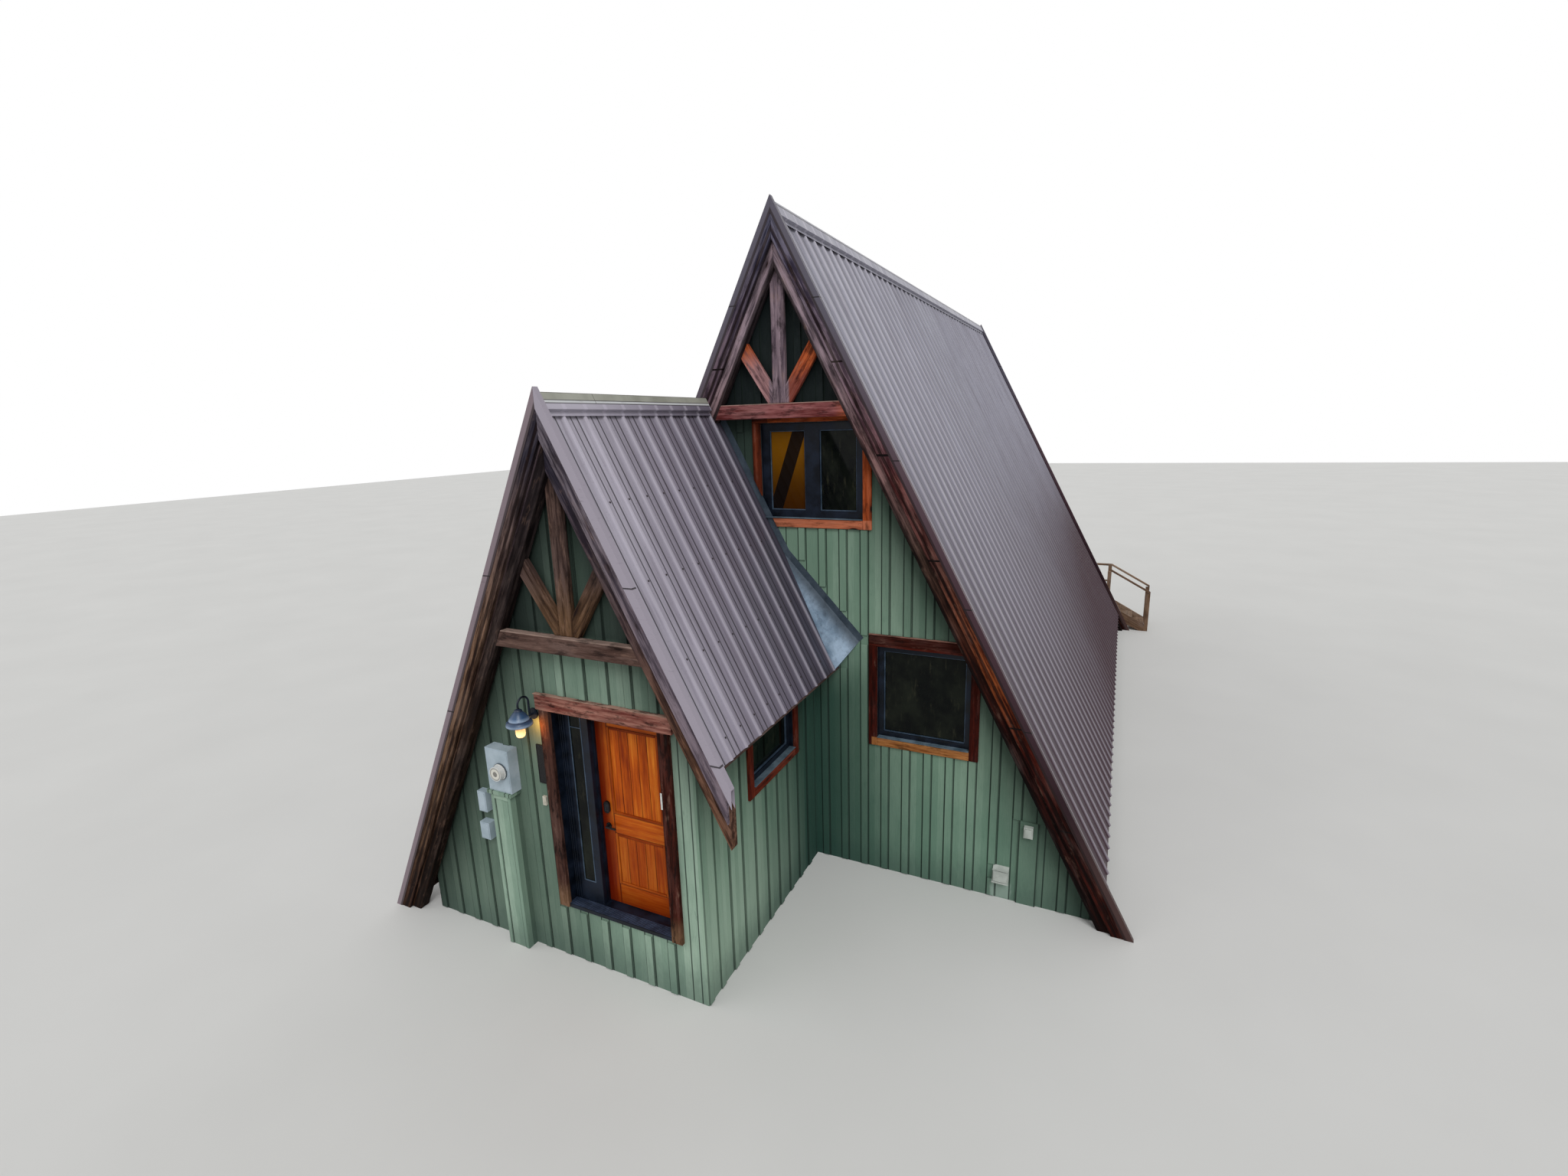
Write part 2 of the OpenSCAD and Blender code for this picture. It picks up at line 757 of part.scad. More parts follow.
module entry_right_wall() {
  color("darkseagreen") site() intersection() {
    along_y(leaf_y1, overhang) intersection() {
      rect(entry_right_x - wall_t, 0, entry_right_x, far);
      translate([entry_x, 0]) tent(entry_apex, under_deck);
    }
    along_x(entry_right_x - far, entry_right_x + far) difference() {
      rect(-far, 0, far, far);
      window_hole(side_win);
    }
  }
}

// Part of the entry's front wall between two distances across and above a height
module entry_front(x0, x1, z0, z1) {
  color("darkseagreen") site() along_y(entry_face_y, leaf_y1) intersection() {
    rect(x0, z0, x1, z1);
    translate([entry_x, 0]) tent(entry_apex, under_deck);
  }
}

module entry_wall_left() {
  entry_front(entry_left_x, door_hole[0], 0, far);
}

module entry_wall_right() {
  entry_front(door_hole[1], entry_right_x, 0, far);
}

module entry_wall_top() {
  entry_front(door_hole[0], door_hole[1], door_hole[2], far);
}

module entry_wall_sill() {
  entry_front(door_hole[0], door_hole[1], 0, floor_z);
}

module ground_floor() {
  color("burlywood") site() {
    along_y(front_inner_y, back_inner_y) intersection() {
      rect(-low_wall_run + low_wall_t, floor_z - floor_t, low_wall_run - low_wall_t, floor_z);
      tent(main_apex, under_deck);
    }
    along_y(leaf_y1, overhang)
      rect(entry_left_x + low_wall_t, floor_z - floor_t, entry_right_x - wall_t, floor_z);
  }
}

module upper_floor() {
  color("burlywood") site() along_y(front_inner_y, back_inner_y) intersection() {
    rect(-far, loft_z - loft_t, far, loft_z);
    tent(main_apex, under_deck);
  }
}

// The two sunk panels of a leaf, one over the other between its stiles and rails
module panel_drawing() {
  low_z = leaf_z0 + bottom_rail_h;
  mid_z = low_z + low_panel_h + mid_rail_h;
  rect(leaf_x0 + stile_w, low_z, leaf_x1 - stile_w, low_z + low_panel_h);
  rect(leaf_x0 + stile_w, mid_z, leaf_x1 - stile_w, leaf_z1 - top_rail_h);
}

module front_door() {
  color("chocolate") site() difference() {
    block(leaf_x0, leaf_y0, leaf_z0, leaf_x1, leaf_y1, leaf_z1);
    along_y(leaf_y0 - 1, leaf_y0 + panel_sink) panel_drawing();
    along_y(leaf_y1 - panel_sink, leaf_y1 + 1) panel_drawing();
  }
}

// Lever, rose and spindle on one side of the leaf, drawn on its outer face
module lever() {
  rotate([90, 0, 0]) {
    cylinder(h = 10, r = 32);
    cylinder(h = 52, r = 11);
    translate([-12, -10, 40]) cube([lever_len - 8, 20, 12]);
    translate([lever_len - 20, 0, 40]) cylinder(h = 12, r = 10);
  }
}

// Rounded keypad plate of the lock, drawn on the leaf's outer face
module lock_plate() {
  rotate([90, 0, 0]) {
    for (z = [-30, 30]) translate([0, z, 0]) cylinder(h = 22, r = 36);
    translate([-36, -30, 0]) cube([72, 60, 22]);
  }
}

module door_handle() {
  color("black") site() translate([lever_x, 0, lever_z]) {
    translate([0, leaf_y0, 0]) lever();
    translate([0, leaf_y0, lock_rise]) lock_plate();
    translate([0, leaf_y1, 0]) mirror([0, 1, 0]) lever();
    translate([0, leaf_y1, lock_rise]) rotate([-90, 0, 0]) cylinder(h = 14, r = 30);
    translate([-6, leaf_y1 + 14, lock_rise - 22]) cube([12, 14, 44]);
  }
}

module door_hinges() {
  color("dimgray") site() for (z = [leaf_z0 + 180, (leaf_z0 + leaf_z1) / 2, leaf_z1 - 180]) {
    translate([hinge_x, hinge_y, z - hinge_h / 2]) cylinder(h = hinge_h, r = hinge_r);
    block(leaf_x1 - 60, leaf_y1, z - hinge_h / 2, leaf_x1 + 2, leaf_y1 + hinge_plate_t, z + hinge_h / 2);
  }
}

module door_frame() {
  sill_z = floor_z + threshold_h;
  leaf_hole = [leaf_x0 - door_gap, leaf_x1 + door_gap, leaf_z1 + door_gap];
  color("midnightblue") site() {
    along_y(leaf_y1 - door_frame_d, leaf_y1) difference() {
      rect(door_hole[0], floor_z, door_hole[1], door_hole[2]);
      rect(leaf_hole[0], sill_z, leaf_hole[1], leaf_hole[2]);
      rect(glass_x0, sill_z + sidelight_panel_h, glass_x1, leaf_hole[2]);
    }
    along_y(leaf_y0 - door_gap - stop_d, leaf_y0 - door_gap) difference() {
      rect(leaf_hole[0] - 1, sill_z - 1, leaf_hole[1] + 1, leaf_hole[2] + 1);
      rect(leaf_hole[0] + stop_w, sill_z - 2, leaf_hole[1] - stop_w, leaf_hole[2] - stop_w);
    }
    block(door_hole[0], entry_face_y, floor_z, door_hole[1], leaf_y1 - door_frame_d, sill_z);
    block(door_hole[0] + post_lap, entry_face_y - 30, floor_z, door_hole[1] - post_lap, entry_face_y, sill_z);
  }
}

// Posts beside the door and the header over them, capped by a thin drip strip
module door_trims() {
  strip_h = 8;
  z1 = door_hole[2];
  y0 = entry_face_y - post_trim_t;
  x0 = door_post_x0 - header_over;
  x1 = door_post_x1 + header_over;
  color("brown") site() {
    block(door_post_x0, y0, floor_z, door_post_x0 + post_trim_w, entry_face_y, z1 - board_joint);
    block(door_post_x1 - post_trim_w, y0, floor_z, door_post_x1, entry_face_y, z1 - board_joint);
    block(x0, y0, z1, x1, entry_face_y, z1 + header_h);
    block(x0 - 8, y0 - 10, z1 + header_h, x1 + 8, entry_face_y, z1 + header_h + strip_h);
  }
}

// The panes of a window, as wide as its frame bars leave them
module pane_drawing(w) {
  pane_w = (w[1] - 2 * w[4] * w[5]) / w[4];
  for (i = [0:w[4] - 1]) translate([w[0] + w[5] + i * (pane_w + 2 * w[5]), w[2] + w[5]])
    square([pane_w, w[3] - 2 * w[5]]);
}

module frame_drawing(w) {
  difference() {
    window_hole(w);
    pane_drawing(w);
  }
}

module window_frames() {
  a = frame_set_back;
  b = frame_set_back + frame_t;
  color("darkslateblue") site() {
    from_face(overhang, 1, a, b) frame_drawing(upper_win);
    from_face(overhang, 1, a, b) frame_drawing(lower_win);
    from_face(back_face_y, -1, a, b) frame_drawing(rear_upper_win);
    from_face(back_face_y, -1, a, b) frame_drawing(rear_lower_win);
    along_x(entry_right_x - b, entry_right_x - a) frame_drawing(side_win);
  }
}

module window_glass() {
  a = frame_set_back + frame_t / 2;
  b = a + glass_t;
  color("lightblue", 0.5) site() {
    from_face(overhang, 1, a, b) pane_drawing(upper_win);
    from_face(overhang, 1, a, b) pane_drawing(lower_win);
    from_face(back_face_y, -1, a, b) pane_drawing(rear_upper_win);
    from_face(back_face_y, -1, a, b) pane_drawing(rear_lower_win);
    along_x(entry_right_x - b, entry_right_x - a) pane_drawing(side_win);
    block(glass_x0, leaf_y0, floor_z + threshold_h + sidelight_panel_h, glass_x1, leaf_y0 + glass_t,
      leaf_z1 + door_gap);
  }
}

// The four boards round a window: two sides, a sill between them and a head over them
module trim_drawing(w) {
  x1 = w[0] + w[1];
  z1 = w[2] + w[3];
  rect(w[0] - trim_w, w[2] - trim_w, w[0], z1);
  rect(x1, w[2] - trim_w, x1 + trim_w, z1);
  rect(w[0] + board_joint, w[2] - trim_w, x1 - board_joint, w[2]);
  rect(w[0] - trim_w, z1 + board_joint, x1 + trim_w, z1 + board_joint + head_h);
}

// Window trim on a main gable, kept under the roof deck
module gable_trim(w) {
  intersection() {
    trim_drawing(w);
    tent(main_apex, under_deck);
  }
}

module window_trims() {
  color("brown") site() {
    from_face(overhang, -1, 0, trim_t) difference() {
      gable_trim(upper_win);
      translate([entry_x, 0]) tent(entry_apex, pan_depth - upstand_h - notch_gap);
    }
    from_face(overhang, -1, 0, trim_t) gable_trim(lower_win);
    from_face(back_face_y, 1, 0, trim_t) gable_trim(rear_upper_win);
    from_face(back_face_y, 1, 0, trim_t) gable_trim(rear_lower_win);
    along_x(entry_right_x, entry_right_x + trim_t) trim_drawing(side_win);
  }
}

// Bent arm of the wall lamp, from the wall plate up, over and down to the shade
module wall_lamp() {
  arc_z = lamp_z + 150;
  y1 = entry_face_y - (lamp_reach - 2 * arm_bend);
  y2 = entry_face_y - lamp_reach;
  color("darkslategray") site() translate([lamp_x, 0, 0]) {
    translate([0, entry_face_y, lamp_z]) rotate([90, 0, 0]) cylinder(h = 20, r = 58);
    translate([0, entry_face_y, lamp_z]) rotate([90, 0, 0]) cylinder(h = lamp_reach - 2 * arm_bend, r = arm_r);
    translate([0, y1, lamp_z]) cylinder(h = arc_z - lamp_z, r = arm_r);
    translate([0, y1, lamp_z]) sphere(r = arm_r + 2);
    translate([0, (y1 + y2) / 2, arc_z]) rotate([90, 0, 90]) rotate_extrude(angle = 180)
      translate([arm_bend, 0]) circle(r = arm_r - 1);
    translate([0, y2, shade_top_z - 5]) cylinder(h = arc_z - shade_top_z + 5, r = arm_r);
    translate([0, y2, shade_top_z - shade_h]) rotate_extrude() shade_section();
  }
}

// Bell shade in section, with an open mouth downwards
module shade_section() {
  t = 4;
  polygon([
    [0, shade_h],
    [28, shade_h],
    [34, shade_h - 40],
    [62, shade_h - 58],
    [shade_r - 8, shade_h - 100],
    [shade_r, shade_h - 130],
    [shade_r - t, shade_h - 130],
    [shade_r - 8 - t, shade_h - 103],
    [48, shade_h - shade_roof],
    [0, shade_h - shade_roof]
  ]);
}

module lamp_glass() {
  h = 170;
  color("wheat") site() translate([lamp_x, entry_face_y - lamp_reach, shade_top_z - shade_roof - h]) cylinder(h = h, r = 44);
}

// A box on the entry's front wall by its left side, bottom, width, height and depth
module wall_box(x0, z0, w, h, d) {
  block(x0, entry_face_y - d, z0, x0 + w, entry_face_y, z0 + h);
}

module utility_boxes() {
  small_x0 = meter_x0 - 270;
  color("lightsteelblue") site() {
    wall_box(meter_x0, meter_z, meter_w, meter_h, meter_d);
    wall_box(small_x0, meter_z - 345, small_box_w, 240, 80);
    wall_box(small_x0 - 8, meter_z - 675, small_box_w + 16, 200, 90);
  }
}

module meter_dome() {
  color("gainsboro") site()
    translate([meter_x0 + 200, entry_face_y - meter_d, meter_z + 245]) rotate([90, 0, 0]) {
      cylinder(h = 20, r = 92);
      translate([0, 0, 20]) cylinder(h = 60, r = 78);
    }
}

// Boxed chase from the ground up to the meter box, with a wider cap
module meter_chase() {
  cap_h = 40;
  cap_over = 30;
  top = meter_z - 2;
  color("darkseagreen") site() {
    wall_box(chase_x0, 0, chase_w, top - cap_h, chase_d);
    wall_box(chase_x0 - cap_over, top - cap_h, chase_w + 2 * cap_over, cap_h, chase_d + cap_over);
  }
}

module number_plaque() {
  color("black") site()
    wall_box(door_post_x0 - 20 - plaque_w, lamp_z - 770, plaque_w, plaque_h, 14);
}

module doorbell() {
  color("white") site() wall_box(door_post_x0 - 100, lamp_z - 1020, 45, 100, 25);
}

module outlet_box() {
  color("white") site() block(outlet_run - 50, overhang - 70, outlet_z - 68, outlet_run + 50, overhang - 20,
    outlet_z + 68);
}

module outlet_cover_board() {
  color("darkseagreen") site() {
    block(outlet_run - 110, overhang - 20, 0, outlet_run + 110, overhang, outlet_z + 108);
  }
}

module vent_hood() {
  color("gray") site() translate([vent_run, overhang, vent_z]) rotate([90, 0, -90])
    translate([0, 0, -90]) linear_extrude(180) polygon([[0, 0], [90, 0], [60, 150], [0, 190]]);
}

module rear_door() {
  color("chocolate") site() {
    from_face(back_face_y, -1, 20, 140) difference() {
      rect(rear_door_x0, floor_z, rear_door_x1, rear_door_z1);
      rect(rear_door_x0 + rear_jamb_w, floor_z - 1, rear_door_x1 - rear_jamb_w, rear_door_z1 - rear_jamb_w);
    }
    from_face(back_face_y, -1, 60, 60 + rear_door_t)
      rect(rear_door_x0 + rear_jamb_w, floor_z, rear_door_x1 - rear_jamb_w, rear_door_z1 - rear_jamb_w);
  }
}

// Landing with a neck to the rear door, treads, two sloped strings and the posts that carry them
module rear_stair() {
  under = floor_z - plank_t;
  color("tan") site() {
    block(land_x0, stair_y0, under, landing_run, stair_y1, floor_z);
    block(rear_door_x0, back_face_y, under, rear_door_x1, stair_y0 - seat, floor_z);
    for (x = [land_x0, landing_run - stair_post_w], y = [stair_y0, stair_y1 - stair_post_w])
      block(x, y, 0, x + stair_post_w, y + stair_post_w, under - seat);
    for (i = [1:stair_treads]) block(landing_run + (i - 1) * tread_d + seat, stair_y0 + plank_t + seat,
      under - i * stair_rise, landing_run + i * tread_d, stair_y1 - plank_t - seat, floor_z - i * stair_rise);
    for (y = [stair_y0, stair_y1 - plank_t]) along_y(y, y + plank_t) polygon([
      [landing_run + seat, floor_z],
      [landing_run + seat, under - string_drop],
      [stair_end_x - string_foot_w, 0],
      [stair_end_x, 0],
      [stair_end_x, stair_rise]
    ]);
  }
}

// A square post of the handrail
module rail_post(x, y, z0, z1) {
  block(x, y, z0, x + stair_post_w, y + stair_post_w, z1);
}

// Posts, a sloped rail on both sides of the flight, and a guard rail round the landing
module rear_handrail() {
  fall = stair_rise / tread_d;
  top = floor_z + handrail_h;
  foot_top = top - (rail_end_x - landing_run) * fall;
  outer = stair_y1 - stair_post_w;
  mid_z = floor_z + handrail_h / 2;
  color("tan") site() {
    for (y = [stair_y0, outer]) {
      rail_post(land_x0, y, floor_z, top - seat);
      rail_post(landing_run - stair_post_w, y, floor_z, top - seat);
      rail_post(stair_end_x + seat, y, 0, foot_top - seat);
      along_y(y, y + stair_post_w) polygon([
        [landing_run + seat, top],
        [landing_run + seat, top + plank_t],
        [rail_end_x, foot_top + plank_t],
        [rail_end_x, foot_top]
      ]);
    }
    block(land_x0, outer, top, landing_run, stair_y1, top + plank_t);
    block(land_x0, stair_y0, top, land_x0 + stair_post_w, outer - seat, top + plank_t);
    block(land_x0 + stair_post_w + seat, outer + plank_t / 2, mid_z, landing_run - stair_post_w - seat,
      stair_y1 - plank_t / 2, mid_z + plank_t);
    block(land_x0 + plank_t / 2, stair_y0 + stair_post_w + seat, mid_z, land_x0 + stair_post_w - plank_t / 2,
      outer - seat, mid_z + plank_t);
  }
}

main_roof_left();
main_roof_right();
entry_roof_left();
entry_roof_right();
main_roofing();
entry_roofing();
main_ridge_cap();
entry_ridge_cap();
edge_flashing();
barge_boards();
gable_rafters();
truss_webs();
collar_ties();
eave_fascia();
cricket_flashing();
main_front_wall();
main_back_wall();
low_side_walls();
entry_right_wall();
entry_wall_left();
entry_wall_right();
entry_wall_top();
entry_wall_sill();
ground_floor();
upper_floor();
front_door();
door_handle();
door_hinges();
door_frame();
door_trims();
window_frames();
window_glass();
window_trims();
wall_lamp();
lamp_glass();
utility_boxes();
meter_dome();
meter_chase();
number_plaque();
doorbell();
outlet_box();
outlet_cover_board();
vent_hood();
rear_door();
rear_stair();
rear_handrail();
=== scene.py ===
import bpy
import math
import numpy as np
from mathutils import Matrix, Vector


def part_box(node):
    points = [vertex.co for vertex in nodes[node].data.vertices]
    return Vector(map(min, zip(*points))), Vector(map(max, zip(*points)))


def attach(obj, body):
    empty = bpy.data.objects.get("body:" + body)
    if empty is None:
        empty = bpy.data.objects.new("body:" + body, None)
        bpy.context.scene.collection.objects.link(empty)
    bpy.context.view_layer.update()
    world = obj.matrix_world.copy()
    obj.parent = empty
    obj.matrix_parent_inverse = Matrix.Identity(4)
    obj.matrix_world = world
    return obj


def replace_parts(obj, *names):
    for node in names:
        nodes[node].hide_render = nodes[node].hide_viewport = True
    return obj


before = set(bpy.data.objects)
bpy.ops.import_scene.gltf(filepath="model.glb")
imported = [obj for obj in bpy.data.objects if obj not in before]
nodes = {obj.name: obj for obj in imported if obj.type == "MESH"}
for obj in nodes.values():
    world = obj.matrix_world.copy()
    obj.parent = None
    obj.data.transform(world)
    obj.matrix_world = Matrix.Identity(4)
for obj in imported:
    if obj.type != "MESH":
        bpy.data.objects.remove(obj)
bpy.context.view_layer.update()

# The two gables. The main ridge runs back over the house, and the entry gable stands in front of it, lower and to the
# left. Both roofs have one pitch. The apexes are those of the outer lines that the roof layers are measured from.
pitch = math.radians(62.7)
ridge_x, face_y = -0.210, -5.295
main_apex = Vector((ridge_x, 0, 4.140 * math.tan(pitch)))
entry_apex = Vector((ridge_x - 0.9301, 0, 3.085 * math.tan(pitch)))
entry_starts = face_y - 1.0


def spot(x, y, z):
    """A point measured from the foot of the main gable's centre line."""
    return Vector((ridge_x + x, face_y + y, z))


# The camera hangs over the right front corner and looks down at the inside corner of the two gables.
# Its place and lens come from the corners of the roofs, walls, windows and door in the photograph.
eye = spot(3.64667, -7.47652, 5.60439)
yaw, tilt, roll = -0.44944, 0.22993, -0.02879
ahead = Vector((math.sin(yaw) * math.cos(tilt), math.cos(yaw) * math.cos(tilt), -math.sin(tilt)))
level = Vector((math.cos(yaw), -math.sin(yaw), 0))
upright = level.cross(ahead)
side = math.cos(roll) * level + math.sin(roll) * upright
top = -math.sin(roll) * level + math.cos(roll) * upright
camera = bpy.data.objects.new("camera", bpy.data.cameras.new("camera"))
bpy.context.scene.collection.objects.link(camera)
camera.data.sensor_width = 36
camera.data.lens = 915.2534 / 2048 * 36
camera.data.clip_end = 200
camera.matrix_world = Matrix.Translation(eye) @ Matrix((side, top, -ahead)).transposed().to_4x4()
bpy.context.scene.camera = camera


# The floor is one pale plain sheet under soft studio light. Its backdrop is white wherever the camera, glass or
# metal looks past it, and dimmer as a light.
def tone(red, green, blue):
    """A colour read off a screen, as the shader wants it."""
    shares = (part / 255 for part in (red, green, blue))
    return tuple(s / 12.92 if s <= 0.04045 else ((s + 0.055) / 1.055) ** 2.4 for s in shares)


class Wire:
    """The output of a node. Sums and comparisons on it add Math nodes to the same finish."""

    def __init__(self, finish, socket):
        self.finish, self.socket = finish, socket

    def maths(self, how, first, second=0.0):
        return self.finish.node("ShaderNodeMath", {"operation": how}, {0: first, 1: second})

    def __add__(self, other):
        return self.maths("ADD", self, other)

    def __sub__(self, other):
        return self.maths("SUBTRACT", self, other)

    def __rsub__(self, other):
        return self.maths("SUBTRACT", other, self)

    def __mul__(self, other):
        return self.maths("MULTIPLY", self, other)

    def __truediv__(self, other):
        return self.maths("DIVIDE", self, other)

    def __mod__(self, other):
        return self.maths("FLOORED_MODULO", self, other)

    def __gt__(self, other):
        return self.maths("GREATER_THAN", self, other)

    def __lt__(self, other):
        return self.maths("LESS_THAN", self, other)

    def __or__(self, other):
        return self.maths("MAXIMUM", self, other)

    def __abs__(self):
        return self.maths("ABSOLUTE", self)

    __radd__, __rmul__ = __add__, __mul__


class Finish:
    """A material. Each call of node() adds one node with its settings and the values or wires of its sockets.
    Colours are given as screen values from 0 to 255."""

    def __init__(self, name, **sockets):
        self.material = bpy.data.materials.new(name)
        self.material.use_nodes = True
        self.tree = self.material.node_tree
        self.shader = self.tree.nodes["Principled BSDF"]
        self.fill(self.shader, sockets)

    def fill(self, target, values):
        for key, value in values.items():
            socket = target.inputs[key.replace("_", " ") if isinstance(key, str) else key]
            if isinstance(value, Wire):
                self.tree.links.new(value.socket, socket)
            elif socket.type == "RGBA":
                socket.default_value = (*tone(*value), 1)
            else:
                socket.default_value = value

    def node(self, kind, settings=None, values=None, output=0):
        made = self.tree.nodes.new(kind)
        for key, value in (settings or {}).items():
            if key == "stops":
                self.stops(made.color_ramp.elements, value)
            else:
                setattr(made, key, value)
        self.fill(made, values or {})
        return Wire(self, made.outputs[output])

    def paint(self, **sockets):
        self.fill(self.shader, sockets)
        return self

    def cover(self, *names):
        """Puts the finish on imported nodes."""
        for name in names:
            slots = nodes[name].data.materials
            slots.clear()
            slots.append(self.material)
        return self

    def place(self):
        return self.node("ShaderNodeTexCoord", output=3)

    def axes(self, vector=None):
        parts = self.node("ShaderNodeSeparateXYZ", values={0: vector or self.place()}).socket.node.outputs
        return [Wire(self, part) for part in parts]

    def attribute(self, name, output):
        return self.node("ShaderNodeAttribute", {"attribute_name": name}, output=output)

    def vector(self, x, y, z):
        return self.node("ShaderNodeCombineXYZ", values={0: x, 1: y, 2: z})

    def chance(self, number):
        return self.node("ShaderNodeTexWhiteNoise", {"noise_dimensions": "1D"}, {"W": number})

    def noise(self, scale, stretch=(1, 1, 1), vector=None, detail=3.0, rough=0.55, shift=(0, 0, 0)):
        if vector or stretch != (1, 1, 1):
            vector = self.node("ShaderNodeMapping",
                               values={"Vector": vector or self.place(), "Scale": stretch, "Location": shift})
        return self.node("ShaderNodeTexNoise", values={
            "Vector": vector or self.place(), "Scale": scale, "Detail": detail, "Roughness": rough})

    def fade(self, wire, low, high, start=0.0, end=1.0):
        return self.node("ShaderNodeMapRange", {"interpolation_type": "SMOOTHSTEP"},
                         {0: wire, 1: low, 2: high, 3: start, 4: end})

    def stops(self, elements, stops):
        while len(elements) < len(stops):
            elements.new(1)
        for element, (place, colour) in zip(elements, stops):
            element.position, element.color = place, (*tone(*colour), 1)

    def ramp(self, wire, *stops):
        return self.node("ShaderNodeValToRGB", {"stops": stops}, {0: wire})

    def mix(self, amount, first, second, how="MIX"):
        return self.node("ShaderNodeMix", {"data_type": "RGBA", "blend_type": how},
                         {0: amount, 6: first, 7: second}, output=2)

    def stain(self, streak, dark, light, low=0.3, high=0.7):
        """Dark and light by the streaks of the grain."""
        return self.mix(self.fade(streak, low, high), dark, light)

    def relief(self, height, depth, strength=1.0):
        return self.node("ShaderNodeBump", values={"Strength": strength, "Distance": depth, "Height": height})


bpy.ops.object.select_all(action="DESELECT")
bpy.ops.mesh.primitive_plane_add(size=160, location=(0, 0, 0))
floor = bpy.context.active_object
floor.name = "studio_floor"
pale = Finish("studio_floor", Roughness=0.9)
pale.paint(Base_Color=pale.mix(pale.noise(0.4), (206, 206, 204), (216, 216, 214)))
floor.data.materials.append(pale.material)

world = bpy.context.scene.world or bpy.data.worlds.new("studio")
bpy.context.scene.world = world
world.use_nodes = True
sky = world.node_tree
rays = sky.nodes.new("ShaderNodeLightPath").outputs
seen = rays["Is Camera Ray"]
for ray in ("Is Glossy Ray", "Is Transmission Ray"):
    either = sky.nodes.new("ShaderNodeMath")
    either.operation = "MAXIMUM"
    sky.links.new(seen, either.inputs[0])
    sky.links.new(rays[ray], either.inputs[1])
    seen = either.outputs[0]
power = sky.nodes.new("ShaderNodeMapRange")
power.inputs["To Min"].default_value = 0.52
sky.links.new(seen, power.inputs[0])
sky.links.new(power.outputs[0], sky.nodes["Background"].inputs["Strength"])
sky.nodes["Background"].inputs["Color"].default_value = (1, 1, 1, 1)


def lamp(name, kind, energy, place, aim, size):
    """A light at a place, turned toward a point."""
    light = bpy.data.objects.new(name, bpy.data.lights.new(name, kind))
    bpy.context.scene.collection.objects.link(light)
    light.data.energy = energy
    setattr(light.data, "angle" if kind == "SUN" else "size", size)
    light.location = place
    light.rotation_mode = "QUATERNION"
    light.rotation_quaternion = (Vector(aim) - Vector(place)).to_track_quat("-Z", "Y")
    return light


lamp("key_light", "SUN", 1.5, (9, -12, 17), (0, 0, 2), math.radians(28))
lamp("fill_light", "SUN", 0.45, (-14, -10, 9), (0, 0, 2), math.radians(60))
bpy.context.scene.view_settings.view_transform = "Standard"


# The timber of the gables: sawn beams and boards, stained red-brown and weathered grey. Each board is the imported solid
# with its sharp edges eased, and it carries its own grain: a place along, across and through the board, and a number
# that makes it unlike its neighbours.
def copy_node(name, piece_name):
    """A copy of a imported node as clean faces, open in edit mode."""
    piece = nodes[name].copy()
    piece.data = nodes[name].data.copy()
    piece.name = piece.data.name = piece_name
    piece.parent = None
    for key in list(piece.keys()):
        del piece[key]
    bpy.context.scene.collection.objects.link(piece)
    bpy.ops.object.select_all(action="DESELECT")
    piece.select_set(True)
    bpy.context.view_layer.objects.active = piece
    bpy.ops.object.mode_set(mode="EDIT")
    bpy.ops.mesh.select_all(action="SELECT")
    bpy.ops.mesh.customdata_custom_splitnormals_clear()
    bpy.ops.mesh.remove_doubles(threshold=0.00005)
    bpy.ops.mesh.dissolve_limited(angle_limit=math.radians(0.5))
    return piece


def begin(name):
    """An empty piece at the origin, open in edit mode."""
    bpy.ops.object.select_all(action="DESELECT")
    bpy.ops.object.add(type="MESH", enter_editmode=True, location=(0, 0, 0))
    piece = bpy.context.active_object
    piece.name = piece.data.name = name
    return piece


def joined(edges, count):
    """The number of the separate board that each of count points belongs to."""
    label = np.arange(count)
    first, second = edges[:, 0], edges[:, 1]
    while True:
        lower = np.minimum(label[first], label[second])
        before = label.copy()
        np.minimum.at(label, first, lower)
        np.minimum.at(label, second, lower)
        label = label[label]
        if (label == before).all():
            return label


def grain(piece):
    """Gives each separate board its grain: metres along, across and through it, and a number from 0 to 1."""
    mesh = piece.data
    points = np.empty(len(mesh.vertices) * 3)
    mesh.vertices.foreach_get("co", points)
    points = points.reshape(-1, 3)
    label = joined(np.array([e.vertices[:] for e in mesh.edges]), len(points))
    own, number = np.zeros_like(points), np.zeros(len(points))
    for k, one in enumerate(np.unique(label)):
        chosen = label == one
        middle = points[chosen].mean(0)
        local = points[chosen] - middle
        edges = [e.vertices for e in mesh.edges if chosen[e.vertices[0]]]
        run = max((points[b] - points[a] for a, b in edges), key=np.linalg.norm)
        run = run / np.linalg.norm(run)
        through = np.linalg.svd(local - np.outer(local @ run, run), full_matrices=False)[2]
        wide = through[0] - run * (through[0] @ run)
        wide = wide / np.linalg.norm(wide)
        own[chosen] = np.stack([local @ run, local @ wide, local @ np.cross(run, wide)], 1)
        number[chosen] = (0.137 + 0.618034 * k + middle.sum() * 0.29) % 1
    mesh.attributes.new("grain", "FLOAT_VECTOR", "POINT").data.foreach_set("vector", own.ravel())
    mesh.attributes.new("board", "FLOAT", "POINT").data.foreach_set("value", number)


